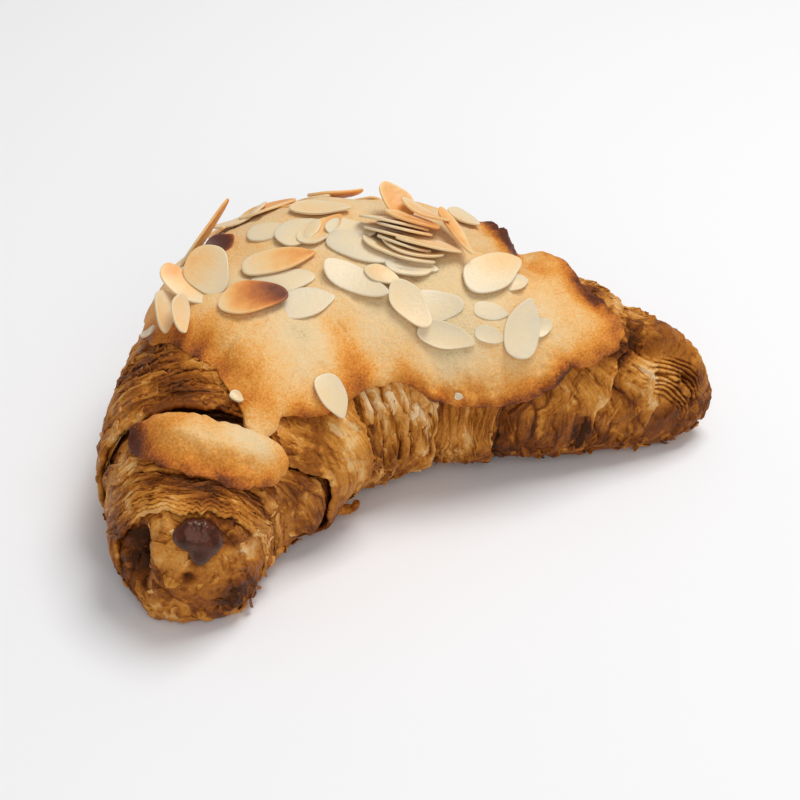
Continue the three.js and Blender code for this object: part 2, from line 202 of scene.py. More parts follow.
# Rolled end at the right tip: where its long axis starts and ends (t, degrees), its size in mm, how stretched
# its layers are, and their pitch and depth.
ROLL_FROM, ROLL_TO = (0.852, 140), (0.951, 164)
ROLL_LENGTH, ROLL_WIDTH = 12.0, 7.5  # half of each
ROLL_BEND = 16.0  # radius of the layers' arch
ROLL_STRETCH, ROLL_PITCH, ROLL_DEPTH = 7.0, 1.35, 1.2
ROLL_STRAY, ROLL_STRAY_SIZE, ROLL_STRAY_SEED = 0.5, 5.0, 51
ROLL_GAP = (0.04, 0.3)  # share of the pitch over which a gap closes
ROLL_FADE = (0.65, 1.0)
ROLL_GAP_SHADE = 0.36  # painted shade in the gaps, added to the bake

# Patches on the dough: t, degrees, radius in mm, and how much darker they are baked; those marked as painted
# shade darken hollows instead.
CRUST_PATCHES = [
    (0.27, 80, 12, 0.02),
    (0.3, 50, 14, 0.12),
    (0.25, 40, 14, 0.14),
    (0.215, 100, 9, 0.22),
    (0.218, 78, 9, 0.34),
    (0.225, 53, 9, 0.1),
    (0.1, 105, 10, 0.05),
    (0.05, 78, 5, -0.25),
    # painted shade in the deep hollow by the left tip
    (0.066, 12, 7, 0.6),
    (0.02, 120, 20, -0.14),
    (0.01, 230, 10, 0.38),
    (0.004, 49, 8, -0.04),
    # painted shade in a small hollow on the left tip
    (0.002, 52, 1.8, 0.3),
    (0.008, 6, 5, 0.12),
    # painted shade in a small hollow on the left tip
    (0.006, 93, 1.6, 0.3),
    (0.107, 151, 8, 0.12),
    (0.006, 330, 5, 0.14),
    (0.024, 189, 8, 0.2),
    (0.296, 158, 6, -0.36),
    (0.24, 146, 10, 0.15),
    (0.395, 164, 8, -0.08),
    (0.418, 168, 5, -0.12),
    (0.39, 188, 9, 0.36),
    (0.54, 183, 9, -0.06),
    (0.635, 184, 6, 0.12),
    (0.705, 190, 13, 0.42),
    (0.775, 170, 8, -0.2),
    (0.825, 173, 7, 0.3),
    (0.87, 182, 7, 0.18),
    (0.875, 108, 7, 0.08),
    (0.86, 151, 8, -0.44),
    (0.935, 156, 8, 0.14),
    (0.055, 95, 7, 0.12),
    (0.135, 62, 6, 0.2),
    (0.28, 186, 9, 0.16),
    (0.783, 90, 5, 0.35),
    (0.808, 100, 4, -0.12),
    (0.822, 120, 6, 0.4),
    (0.802, 133, 4, 0.4),
    (0.12, 75, 8, 0.2),
    (0.1, 95, 8, 0.24),
    (0.09, 115, 8, 0.2),
    (0.17, 165, 9, 0.1),
    (0.78, 200, 14, 0.12),
]

# Almond cream: outlines as t, degrees, how plump the rim is (0 runs out thin, 1 is rolled over) and how
# brown it is baked there.
SHEET_CENTRE = (0.45, 100)
SHEET_EDGE = np.array([
    [0.268, 86, 0.1, 0.66],
    [0.25, 94, 0.1, 0.66],
    [0.233, 101, 0.25, 0.62],
    [0.218, 107, 0.5, 0.58],
    [0.204, 111, 0.6, 0.52],
    [0.188, 115, 0.6, 0.38],
    [0.18, 121, 0.6, 0.36],
    [0.188, 127, 0.6, 0.38],
    [0.207, 129, 0.6, 0.4],
    [0.225, 127, 0.6, 0.42],
    [0.24, 128, 0.7, 0.6],
    [0.255, 135, 0.9, 0.74],
    [0.288, 144, 0.9, 0.7],
    [0.323, 146, 0.9, 0.66],
    [0.375, 150, 0.9, 0.6],
    [0.422, 155, 0.9, 0.7],
    [0.455, 162, 1.0, 0.82],
    [0.485, 168, 1.0, 0.86],
    [0.53, 172, 1.0, 0.88],
    [0.59, 173, 1.0, 0.88],
    [0.65, 171.5, 1.0, 0.88],
    [0.69, 166, 1.0, 0.86],
    [0.716, 157.5, 1.0, 0.82],
    [0.73, 150, 1.0, 0.8],
    [0.75, 149, 1.0, 0.64],
    [0.777, 142, 0.95, 0.61],
    [0.797, 135, 0.8, 0.74],
    [0.809, 127, 0.6, 0.54],
    [0.816, 115, 0.5, 0.62],
    [0.802, 104, 0.5, 0.9],
    [0.778, 93, 0.5, 0.92],
    [0.76, 80, 0.7, 0.8],
    [0.748, 75, 0.8, 0.66],
    [0.737, 81, 0.8, 0.6],
    [0.717, 93, 0.8, 0.55],
    [0.701, 101, 0.8, 0.5],
    [0.696, 88, 0.8, 0.8],
    [0.688, 70, 0.8, 0.92],
    [0.62, 42, 0.7, 0.6],
    [0.52, 27, 0.7, 0.6],
    [0.42, 24, 0.7, 0.6],
    [0.34, 31, 0.6, 0.7],
    [0.298, 47, 0.3, 0.7],
    [0.284, 67, 0.15, 0.7],
])
PAD_CENTRE = (0.15, 105)
PAD_EDGE = np.array([
    [0.148, 60, 0.3, 0.75],
    [0.132, 70, 0.15, 0.72],
    [0.115, 80, 0.1, 0.78],
    [0.096, 95, 0.1, 0.8],
    [0.088, 113, 0.15, 0.82],
    [0.1, 134, 0.3, 0.82],
    [0.13, 147, 0.7, 0.74],
    [0.163, 150, 0.9, 0.6],
    [0.182, 145, 1.0, 0.5],
    [0.191, 132, 0.9, 0.36],
    [0.186, 116, 0.9, 0.3],
    [0.184, 100, 0.9, 0.45],
    [0.19, 88, 1.0, 0.58],
    [0.191, 75, 1.0, 0.64],
    [0.19, 62, 0.9, 0.8],
    [0.183, 53, 0.7, 0.95],
    [0.165, 53, 0.5, 0.92],
])
CREAM = 4.0  # thickness of the sheet
PAD = 4.6  # and of the pad
SHEET_COLUMNS, PAD_COLUMNS, FLAP_COLUMNS = 520, 280, 320
SHEET_SEED, PAD_SEED, FLAP_SEED = 60, 80, 90
SHEET_BROWN, PAD_BROWN = 0.3, 0.41  # browning away from the rim
CREAM_LIP = 4.5  # width of the rounding at the rim
CREAM_FOLLOWS = 0.6  # share of the dough's steps that shows through
CREAM_DRAPE = 5.0  # run over which it drapes over a step
BURNT_LUMPS = 2.6  # height of the lumps where the rim is burnt
CREAM_BED = 3.0  # how deep the hidden underside lies in the dough
RIM_BROWN = 5.6  # how far the browning reaches in from the rim
RIM_BROWN_FADE = 1.3  # power of its fading

# Mesh of a layer that lies on the dough.
LAYER_ROWS = 130
LAYER_CROWDING = 1.35  # power that crowds the rows towards the rim
LAYER_CORE = 0.01  # share of the way to the rim at which the rows start
RIM_WAVER = [(0.9, 7.0), (0.7, 2.5)]  # height and size of the outline's wavering
RIM_FOOT = 0.4  # height of the rim's outermost line, as a share of the rim's height
RIM_STEP = 2  # every which point of the rim the distance is measured from
RIM_THIN = 0.4  # width of a thin rim's rounding, as a share of a plump one's
RIM_RISE = 8.0  # how far behind the rounding a thin layer has its full height
# Rows below the rim: how far in from it, their height as a share of the rim's foot, and how much deeper
# they all lie.
UNDER_IN = np.array([0.12, 0.3, 0.5, 1.0, 2.5, 6.0])[:, None]
UNDER_LEVELS = np.array([0.6, 0.3, 0.0, -0.3, -0.6, -1])[:, None]
UNDER_SINK = 0.2
RIM_RISE_FROM = 0.7  # share of the rounding's width from which a thin layer rises
LAYER_EVEN = 0.5  # share of the way to the rim within which the height is evened out round the middle
# Rows and columns to each side over which a layer's values are evened out.
INSIDE_SOFT, PLUMP_SOFT, SCORCH_SOFT, HEIGHT_SOFT = (0, 6), (3, 8), (6, 12), (8, 14)

# Surface of the cream in mm: heights and sizes of its swells, its dimples, its grit and the lumps of a burnt
# rim, and the mottling of its browning.
SWELLS = [(0.7, 20.0), (0.35, 8.0)]
SWELL_FADE = (0.5, 6.0)
DIMPLE, DIMPLE_SIZE, DIMPLE_LEVELS = 0.5, 6.0, (0.45, 0.75)
GRIT, GRIT_SIZE = 0.12, 1.6
LUMP_SIZE, LUMP_LOWEST, LUMP_FADE = 4.0, -0.3, (0.0, 2.0)
BURNT_LEVELS, BURNT_REACH = (0.7, 0.9), 7.0
SCORCH_MOTTLE, SCORCH_MOTTLE_SIZE = 0.3, 6.0
BROWN_MOTTLE, BROWN_MOTTLE_SIZE = 0.1, 15.0

# Swellings of the cream, or dents where the height is negative: t, degrees, radius and height in mm.
CREAM_BUMPS = [
    (0.76, 76, 8, 2.6),
    (0.69, 84, 4.0, 2.6),
    (0.686, 72, 4.0, 2.2),
    (0.356, 130, 5, 0.8),
    (0.351, 140, 5, 0.9),
    (0.385, 138, 6, -0.7),
    (0.31, 114, 6, -0.6),
    (0.15, 105, 14, 1.6),
    (0.165, 80, 9, 0.8),
    (0.155, 130, 9, 0.8),
]

# Flap of dough in front of the shoulder: its outline as the cream's, with the scorch as extra bake.
FLAP_CENTRE = (0.185, 174)
FLAP_EDGE = np.array([
    [0.15, 143, 0.1, 0.2],
    [0.172, 149, 0.5, 0.2],
    [0.193, 156, 0.9, 0.3],
    [0.211, 164, 1.0, 0.3],
    [0.226, 173, 1.0, 0.3],
    [0.23, 183, 1.0, 0.4],
    [0.223, 194, 1.0, 0.4],
    [0.209, 207, 1.0, 0.5],
    [0.2, 201, 1.0, 0.5],
    [0.188, 198, 0.8, 0.4],
    [0.17, 199, 0.4, 0.2],
    [0.155, 196, 0.1, 0.1],
    [0.146, 186, 0.0, 0.1],
    [0.142, 170, 0.0, 0.1],
    [0.143, 154, 0.0, 0.1],
])
FLAP = 2.4  # thickness
FLAP_LIP = 1.4  # width of the rounding at its edge
FLAP_SLANT = 0.35  # how aslant its grain lies
FLAP_CALM = 2.0  # distance from the rim where its flakes are at full height
FLAP_SCORCH, FLAP_PALE, FLAP_PALE_REACH = 0.25, 0.2, 0.7
FLAP_SKIN = Skin(0.4, 3.0, 0.8, 0, 1.0, 0.6, 2.4, 0.3, 0.4, 0.4, 0.1)

# Patches on the cream: t, degrees, radius in mm, and how much browner they are; two marked below are painted
# light instead.
CREAM_PATCHES = [
    (0.356, 141, 6, 0.22),
    (0.361, 130, 6, 0.22),
    (0.376, 118, 5, 0.16),
    (0.275, 101, 9, 0.16),
    (0.29, 80, 10, 0.15),
    (0.262, 112, 8, 0.06),
    (0.3, 55, 8, 0.15),
    (0.78, 130, 15, 0.12),
    (0.77, 92, 9, 0.12),
    (0.692, 84, 4.5, 0.4),
    (0.688, 70, 5.5, 0.35),
    (0.79, 100, 3.0, 0.08),
    (0.205, 120, 8, 0.17),
    (0.36, 95, 16, -0.1),
    (0.338, 110, 4, -0.12),
    (0.35, 119, 5, -0.12),
    # paler spot standing for the glaze's glints: a painted highlight
    (0.395, 145, 5, -0.14),
    # paler where the cream faces the front: painted light
    (0.5, 142, 15, -0.08),
    (0.545, 147, 6, -0.14),
    (0.569, 113, 5, -0.2),
    (0.54, 98, 8, -0.06),
    (0.6, 125, 14, -0.05),
    (0.17, 56, 5, 0.3),
    (0.165, 72, 9, 0.06),
    (0.172, 120, 10, -0.2),
    (0.178, 145, 5, 0.16),
    (0.11, 120, 7, 0.1),
]

# Flaked almonds and crumbs: t, degrees, turn, length and width in mm, lift above the cream, lean, pitch,
# toast, and how much the toast rises towards the pointed end.
FLAKES = [
    (0.342, 92, 60, 18, 12, 1.6, 0, 0, 0.78, 0.52),
    (0.376, 106, 40, 15, 10, 0.2, 0, 0, 0.12, 0.0),
    (0.404, 89, 40, 21, 9, 2.0, 0, 0, 0.52, 0.3),
    (0.383, 94, 42, 18, 10, 0.8, 0, 0, 0.15, 0.0),
    (0.44, 74, 50, 12, 9, 0.5, 0, 0, 0.2, 0.1),
    (0.458, 84, 25, 13, 12, 1.0, 0, 0, 0.24, 0.3),
    (0.478, 88, -15, 15, 9, 0.4, 0, 0, 0.5, 0.2),
    (0.495, 101, 55, 22, 9, 0.8, 0, 0, 0.12, 0.1),
    (0.506, 92, 38, 15, 9, 0.4, 0, 0, 0.15, 0.0),
    (0.452, 112, 68, 19, 8.5, 0.4, 0, 0, 0.15, 0.1),
    (0.49, 115, 50, 10, 5.5, 1.4, 0, 0, 0.38, 0.2),
    (0.502, 129, 72, 15, 9, 1.0, 0, 0, 0.28, 0.2),
    (0.547, 130, -2, 16, 9, 0.2, 0, 0, 0.15, 0.0),
    (0.545, 142, 18, 15, 7.5, 0.2, 0, 0, 0.2, 0.1),
    (0.542, 112, 18, 15, 6, 1.0, 0, 0, 0.15, 0.1),
    (0.3, 138, 105, 12, 8, 0.4, 0, 0, 0.25, 0.2),
    (0.65, 112, -45, 20, 12, 0.9, 0, 0, 0.32, 0.3),
    (0.669, 136, -78, 17, 10, 0.8, 0, 0, 0.08, 0.0),
    (0.63, 131, 0, 10, 5, 0.3, 0, 0, 0.12, 0.0),
    (0.621, 141, 13, 9, 4.5, 0.2, 0, 0, 0.15, 0.0),
    (0.694, 133, -28, 8, 5, 0.4, 0, 0, 0.12, 0.0),
    (0.678, 113, -40, 8, 5, 0.4, 0, 0, 0.2, 0.0),
    (0.478, 57, 15, 18, 9, 0.8, 0, 0, 0.6, 0.2),
    (0.506, 76, 39, 17, 9, 0.9, 0, 0, 0.35, 0.1),
    (0.649, 80, 43, 12, 7, 0.7, 0, 0, 0.3, 0.1),
    (0.35, 74, 130, 15, 13, 3.4, -12, -26, 0.36, -0.25),
    (0.331, 68, 110, 18, 8, 2.6, 15, -32, 0.45, -0.3),
    (0.306, 63, 168, 13, 7, 2.2, 70, -26, 0.3, 0.2),
    (0.303, 71, 165, 12, 6, 1.8, 65, -25, 0.34, 0.2),
    (0.405, 56, 28, 22, 8, 4.8, 30, 24, 0.55, 0.3),
    (0.575, 83, -150, 13, 8, 4.4, 20, 35, 0.58, 0.1),
    (0.617, 98, 66, 22, 4, 3.4, 10, 0, 0.58, -0.1),
    (0.596, 90, 40, 17, 7, 4.2, 20, 0, 0.5, 0.1),
    (0.402, 63, 30, 8, 6, 1.6, -45, 0, 1.05, 0.0),
    (0.296, 53, 60, 5, 4, -1.0, 10, 0, -0.05, 0.0),
    (0.226, 104, 102, 4, 3, -1.8, 10, 0, 0.28, 0.0),
    (0.544, 166, 24, 2.4, 1.8, 0.3, 0, 0, 0.1, 0.0),
    (0.556, 94, 23, 19.6, 10, 3.6, 30, 0, 0.48, 0.3),
    (0.576, 94, 29, 16.8, 10, 4.4, 24, 0, 0.6, 0.2),
    (0.542, 98, 28, 15.2, 9, 2.2, 32, 0, 0.34, 0.2),
    (0.561, 97, 23, 15.3, 9, 3.0, 30, 0, 0.42, 0.2),
    (0.578, 105, 15, 18.2, 10, 2.8, 30, 0, 0.42, 0.3),
    (0.548, 104, 30, 15.1, 9, 2.4, 32, 0, 0.32, 0.2),
    (0.554, 107, 22, 16.8, 9, 1.8, 32, 0, 0.34, 0.3),
    (0.536, 106, 35, 20.6, 9, 1.5, 30, 0, 0.3, 0.2),
    (0.539, 112, 28, 14.2, 9, 1.0, 14, 0, 0.15, 0.2),
]
FLAKE_SEED = 11
FLAKE_THICK = 0.75
FLAKE_TAPER = 0.22  # how much slimmer the pointed half is
FLAKE_POINT = 0.14  # and how much slimmer again its very end
FLAKE_WAVES = [(0.05, 2), (0.025, 5)]  # height of the outline's waves and how many there are
WAVE_START = (0, 6)  # radians at which they start
FLAKE_BEND, FLAKE_CUP = (-0.7, 1.4), (-0.4, 0.8)  # least and most, in mm at the ends and at the sides
FLAKE_SIDES = 44
# A flake's rings, from the middle of its top over the rim to the middle of its underside: share of the
# outline, and height as a share of half the thickness.
FLAKE_RINGS = np.array([
    [0.08, 1], [0.25, 1], [0.45, 1], [0.65, 1], [0.82, 1], [0.92, 1], [0.965, 0.97], [0.99, 0.8], [1.0, 0.4],
    [1.0, -0.5], [0.985, -0.9], [0.93, -1], [0.7, -1], [0.4, -1], [0.1, -1],
])
FLAKE_PALE_RIM = 0.16
FLAKE_UNEVEN = 0.2  # how much the toast varies from side to side

# Flakes on the far side, at seeded places.
FAR_COUNT = 7
FAR_T = (0.38, 0.6)
FAR_DEG = (42, 60)
FAR_LENGTH = (14, 18)
FAR_SLIM = 0.58  # width as a share of the length
FAR_TOAST, FAR_RISE = (0.3, 0.6), 0.1
FAR_LIFT, FAR_LIFT_STEP, FAR_LIFT_LEVELS = -0.4, 0.65, 3  # neighbours lie at different heights

# Caramel drop on the left tip.
DROP_T, DROP_DEG = 0.017, 98
DROP_REACH = np.array([[5.4], [6.2], [6.6], [4.2], [6.4], [5.2], [5.6], [5.4]])  # radii round its outline
DROP_HEIGHT = 3.4
DROP_ROWS, DROP_SIDES = 24, 96
DROP_CROWN = 0.8  # power of the dome's curve
DROP_TOP, DROP_RIM = 3, 90  # degrees from the top at which the dome's rows start and end
DROP_WAVER, DROP_WAVER_SIZE, DROP_WAVER_SEED = 0.08, 0.35, 72
DROP_LUMPS, DROP_LUMP_SIZE, DROP_LUMP_SEED = 0.7, 4.0, 73
DROP_FOOT, DROP_UNDER = 0.98, 0.5  # radii of the rows below the rim, as shares of the outline
DROP_SINK, DROP_BED = 1.5, 1.6  # depth of its foot and of the middle of its underside

# Peeling plates of crust: the wrap, how many, the degrees they lie between, their length and width in mm, how
# they are turned from lying round the roll, how high their free side stands, and how much darker they are.
PEELS = [
    (0, 60, (0, 360), (2, 6), (1.2, 3.0), (-90, 90), 0.4, (-0.24, 0.26)),
    (1, 60, (0, 360), (8, 20), (1.0, 2.2), (-6, 6), 0.7, (-0.14, 0.16)),
    (2, 45, (0, 360), (6, 14), (1.2, 3.0), (-15, 15), 0.6, (-0.12, 0.14)),
    (3, 60, (0, 135), (8, 22), (1.2, 2.6), (-6, 6), 0.6, (-0.14, 0.12)),
    (3, 90, (40, 110), (1.5, 3.2), (1.2, 2.4), (-90, 90), 0.5, (-0.14, 0.12)),
    (3, 14, (135, 225), (4, 11), (1.5, 3.6), (20, 60), 0.5, (-0.06, 0.16)),
    (4, 56, (140, 225), (5, 15), (1.2, 3.4), (-16, 16), 0.9, (-0.24, 0.24)),
    (4, 20, (300, 360), (7, 18), (1.4, 3.4), (-14, 14), 0.7, (-0.1, 0.16)),
    (5, 34, (150, 225), (6, 15), (0.9, 1.9), (-10, 10), 0.6, (-0.1, 0.16)),
    (5, 20, (300, 360), (6, 15), (1.2, 3.0), (-10, 10), 0.6, (-0.1, 0.16)),
    (6, 22, (150, 225), (6, 14), (1.2, 3.0), (-20, 20), 0.6, (-0.08, 0.18)),
    (6, 40, (70, 130), (1.4, 3.0), (1.2, 2.4), (-90, 90), 0.4, (-0.06, 0.2)),
    (6, 20, (300, 360), (6, 14), (1.2, 3.0), (-20, 20), 0.6, (-0.1, 0.16)),
    (7, 24, (135, 300), (4, 11), (1.2, 3.0), (-35, 35), 0.6, (-0.1, 0.16)),
    (7, 30, (60, 125), (1.4, 3.2), (1.2, 2.4), (-90, 90), 0.4, (-0.14, 0.24)),
    (7, 16, (0, 60), (4, 11), (1.2, 3.0), (-35, 35), 0.6, (-0.1, 0.16)),
    (8, 14, (170, 360), (3, 7), (1.2, 2.4), (-40, 40), 0.4, (-0.1, 0.16)),
]
PEEL_SEED = 29
PEEL_SIDES = 9
PEEL_BED = (2, 2)  # rows and columns to each side over which the skin below a plate is evened out
PEEL_JAG = (0.7, 1.15)
PEEL_SHARES = np.array([0.5, 0.93, 1.0, 1.0, 0.6])[:, None]  # rings of a plate, as shares of its outline
PEEL_LEVELS = np.array([0.18, 0.16, 0.05, -0.15, -0.18])[:, None]  # and their heights
PEEL_LIFT = 0.3
PEEL_SINK = 0.8  # how deep the other side is sunk
PEEL_CURL = (0.3, 1.3)
PEEL_PALE_RIM = 0.12
PEEL_ROOM = 1.0  # least distance to the wrap's edges
PEEL_ABOVE = 1.5  # least height above the table
PEEL_LEAST_STEP = 0.12  # least width of the wrap's mesh, which keeps them off the very tips

# Loose shards of crust: how many stand at the wraps' edges and along the hem above the table, where, and
# their sizes in mm.
EDGE_SHARDS, HEM_SHARDS = 50, 60
SHARD_SEED = 23
SHARD_LENGTH = (1.5, 4.5)
SHARD_SLIM = (0.35, 0.8)
SHARD_JAG = (0.65, 1.15)
SHARD_BEND = (-0.6, 0.6)
SHARD_TURN, SHARD_PITCH, SHARD_LEAN = (0, 360), (0, 45), (-35, 35)
SHARD_SHADE = (-0.2, 0.15)
SHARD_THICK = 0.3
SHARD_SIDES = 7
SHARD_SHARES = np.array([0.5, 1.0, 1.0, 0.5])[:, None]
SHARD_LEVELS = np.array([0.5, 0.3, -0.3, -0.5])[:, None] * SHARD_THICK
SHARD_T = (0.02, 0.98)
SHARDS_IN_FRONT = 0.65
BARE_FRONT, BARE_BACK = (152, 218), (-35, 18)  # degrees at which the dough is bare
FROM_EDGE = (-0.5, 2.5)  # how far behind an edge a shard stands
HEM, HEM_LIFT = (198, 224), 0.5
CORNER_STRAY = (-0.3, 0.3)  # how far a plate's or shard's corners stray round it, as a share of their spacing

# Curl of crust at the front hem: its wrap, t and degrees, how far along the dough and out of it it heads, and
# in mm where on its way it starts, and how long, wide and thick it is.
CURL_WRAP, CURL_T, CURL_DEG = 3, 0.285, 212
CURL_ALONG, CURL_OUT = 0.65, 0.75
CURL_START, CURL_LENGTH, CURL_WIDTH, CURL_THICK = 0.6, 7.2, 3.8, 3.4
CURL_TAPER = 0.45  # share of its width and thickness that is lost at its end
CURL_TURN = 115  # degrees that its end turns up
CURL_ROWS, CURL_SIDES = 16, 12
CURL_LUMPS, CURL_LUMP_SIZE, CURL_LUMP_SEED = 0.5, 1.6, 93
CURL_BAKE = 0.58
CURL_MOTTLE, CURL_MOTTLE_SIZE, CURL_MOTTLE_SEED = 0.25, 1.2, 94

# Tones as screen colours from 0 to 255, each with the bake, browning or toast at which it stands.
CRUST_TONES = [
    (0.0, (240, 208, 162)),
    (0.18, (228, 180, 114)),
    (0.38, (206, 138, 56)),
    (0.56, (168, 100, 32)),
    (0.74, (122, 62, 16)),
    (1.0, (56, 20, 4)),
]
CREAM_TONES = [
    (0.0, (198, 174, 126)),
    (0.12, (224, 200, 154)),
    (0.24, (235, 204, 156)),
    (0.4, (237, 188, 122)),
    (0.54, (230, 158, 72)),
    (0.66, (212, 130, 48)),
    (0.78, (178, 98, 38)),
    (0.89, (132, 70, 37)),
    (1.0, (92, 46, 32)),
]
ALMOND_TONES = [
    (0.0, (222, 205, 174)),
    (0.25, (234, 209, 168)),
    (0.45, (240, 195, 134)),
    (0.62, (234, 164, 88)),
    (0.76, (204, 122, 54)),
    (0.88, (150, 78, 36)),
    (1.0, (84, 40, 24)),
]
CARAMEL_TONES = [(0.3, (38, 14, 8)), (0.7, (84, 36, 24))]
FLOOR_TONE = (242, 242, 243)
WARM_SHINE = (1.0, 0.66, 0.36, 1.0)
CARAMEL_SHINE = (1.0, 0.7, 0.54, 1.0)

# Stage: half the floor's side in metres, the room's light, and the lamps' names, places, power and size.
FLOOR_HALF = 3.0
ROOM_LIGHT = 0.36
LAMPS = [
    ("window", (0.35, 0.05, 0.95), 6.6, 0.5),
    ("fill", (-0.3, -0.9, 0.7), 3.6, 0.8),
]
LAMP_AIM = Vector((0, 0, 0.02))

# Photograph's view: degrees, metres, and millimetres of lens and sensor.
CAMERA_AZIMUTH = -27.5
CAMERA_ELEVATION = 37.0
CAMERA_DISTANCE = 0.52
CAMERA_LENS = 85.0
CAMERA_SENSOR = 36.0
CAMERA_NEAREST = 0.01
CAMERA_AIM = Vector((0.0027, -0.01505, 0.021))


def through(rows, u, closed=False):
    """Smooth curve through evenly spaced rows, at u from 0 to 1: a cubic between two rows, with a slope at
    each row that is half the step between the rows beside it."""
    if closed:
        spans = len(rows)
        padded = np.vstack([rows[-1:], rows, rows[:2]])
    else:
        spans = len(rows) - 1
        padded = np.vstack([2 * rows[0] - rows[1], rows, 2 * rows[-1] - rows[-2]])
    k = np.clip(np.floor(u * spans).astype(int), 0, spans - 1)
    f = (u * spans - k)[..., None]
    a, b, c, d = (padded[k + i] for i in range(4))
    return b + ((c - a) * f + (2 * a - 5 * b + 4 * c - d) * f**2 + (3 * b - a - 3 * c + d) * f**3) / 2


def smoothstep(v, low, high):
    """0 below low, 1 above high, and a smooth rise between them."""
    k = np.clip((v - low) / (high - low), 0, 1)
    return k * k * (3 - 2 * k)


def unit(v):
    """Vectors brought to length 1."""
    return v / np.maximum(np.linalg.norm(v, axis=-1, keepdims=True), 1e-9)


def bump_noise(points, size, seed):
    """Gradient noise from about -1 to 1: random slopes at lattice corners of that size, smoothly blended.
    The size is one number, or one for each axis where the bumps are stretched."""
    draws = np.random.default_rng(seed)
    order = draws.permutation(256)
    slopes = unit(draws.normal(size=(256, 3)))
    p = points / np.asarray(size)
    cell = np.floor(p).astype(int)
    f = p - cell
    fade = f**3 * (f * (f * 6 - 15) + 10)
    total = np.zeros(p.shape[:-1])
    for corner in np.ndindex(2, 2, 2):
        at = (cell + corner) & 255
        pick = order[(order[(order[at[..., 0]] + at[..., 1]) & 255] + at[..., 2]) & 255]
        share = np.prod(np.where(corner, fade, 1 - fade), axis=-1)
        total += share * np.sum(slopes[pick] * (f - corner), axis=-1)
    return NOISE_GAIN * total


def rough_noise(points, size, seed, octaves=3):
    """Sum of gradient noises, each at half the size and half the height of the one before."""
    return sum(bump_noise(points, size / 2**k, seed + k) / 2**k for k in range(octaves))


def loft(t, phi):
    """The smooth dough: a flattened oval between the outer and inner edges, closed round at both tips."""
    t, phi = np.broadcast_arrays(t, phi)
    row = through(SECTIONS, np.clip(t, 0, 1))
    across, upward = np.cos(phi), np.sin(phi)
    right_run = TIP + (TIP_UNDER - TIP) * smoothstep(-upward, *TIP_UNDER_FADE)
    near = np.clip(np.minimum(t / TIP, (1 - t) / right_run), 0, 1)
    rounding = np.sqrt(np.clip(1 - (1 - near) ** 2, 0, 1))
    height = row[..., 4]
    belly = WIDEST * height
    upper = upward > 0
    side = rounding * np.sign(across) * np.abs(across) ** np.where(upper, SHOULDER, FOOT)
    top = belly + (height - belly) * rounding * np.abs(upward) ** CROWN
    low = belly - (belly + SETTLE) * rounding * np.abs(upward) ** FOOT
    z = np.maximum(np.where(upper, top, low), 0)
    xy = row[..., 2:4] + (row[..., 0:2] - row[..., 2:4]) * ((1 + side) / 2)[..., None]
    return np.concatenate([xy, z[..., None]], axis=-1) - MIDDLE


def spot(t, degrees):
    """A point on the smooth dough."""
    return loft(np.float64(t), np.radians(degrees))


def near_spot(points, t, degrees, radius):
    """A soft round spot on the dough: 1 in its middle, fading over the radius."""
    gap = np.linalg.norm(points - spot(t, degrees), axis=-1)
    return np.exp(-((gap / radius) ** 2))


def hollow_depth(wrap, points):
    """Depth of the hollows pressed into one wrap, at points on the smooth dough: the sum of soft spots."""
    here = [hollow for hollow in HOLLOWS if hollow[0] == wrap]
    return sum(depth * near_spot(points, t, degrees, radius) for _, t, degrees, radius, depth in here)


def directions(t, phi):
    """Unit vectors on the smooth dough: along it towards the right tip, and out of it."""
    along = unit(loft(np.minimum(t + SMALL_STEP, 1), phi) - loft(np.maximum(t - SMALL_STEP, 0), phi))
    around = loft(t, phi + SMALL_STEP) - loft(t, phi - SMALL_STEP)
    return along, unit(np.cross(around, along))


def axes_at(t, degrees):
    """Unit vectors at one place on the smooth dough, as columns: along it, across it and out of it."""
    along, out = directions(np.float64(t), np.float64(np.radians(degrees)))
    return np.stack([along, np.cross(out, along), out], -1)


def arc_lengths(rows):
    """Distance run along a line from its first point to each of its points."""
    steps = np.linalg.norm(np.diff(rows, axis=0), axis=1)
    return np.concatenate([[0], np.cumsum(steps)])


ARC_T = np.linspace(0, 1, ARC_STEPS + 1)
ARC_ROWS = through(SECTIONS, ARC_T)
OUTER_ARC, INNER_ARC = arc_lengths(ARC_ROWS[:, 0:2]), arc_lengths(ARC_ROWS[:, 2:4])


def travel(t, phi):
    """Millimetres along the dough from the left tip, blended from the outer edge's and the inner edge's."""
    outer = (1 + np.cos(phi)) / 2
    return outer * np.interp(t, ARC_T, OUTER_ARC) + (1 - outer) * np.interp(t, ARC_T, INNER_ARC)


def edge_line(edge, phi):
    """t of a wrap's free edge at phi: from its place on the back to its place in front, arched on the crown
    and aslant or bulging in front."""
    ahead = (1 - np.cos(phi)) / 2
    degrees = np.degrees(phi)
    level = edge.back + (edge.front - edge.back) * ahead + edge.slant * ahead * np.sin(phi)
    level = level + edge.bulge * smoothstep(degrees, *BULGE_FROM) * (1 - smoothstep(degrees, *BULGE_TO))
    return level + (edge.top - (edge.back + edge.front) / 2) * np.maximum(np.sin(phi), 0)


def gape(t, phi):
    """Depth of the gap between two wraps on the back: a bell curve in t that fades towards the front."""
    opened = 1 - smoothstep(np.degrees(phi), GAPE_UNTIL - GAPE_FADE, GAPE_UNTIL)
    return GAPE_DEPTH * opened * np.exp(-(((t - GAPE_T) / GAPE_HALF) ** 2))


def draped_relief(t, phi):
    """Height of the wraps' steps as they show through the cream: a soft step at each edge, fading on both
    sides."""
    total = -gape(t, phi)
    for edge in WRAP_EDGES:
        past = edge.way * (t - edge_line(edge, phi)) * RUN
        total = total - edge.step / 2 * np.tanh(past / CREAM_DRAPE) * np.exp(-np.abs(past) / WRAP_REACH)
    return CREAM_FOLLOWS * total


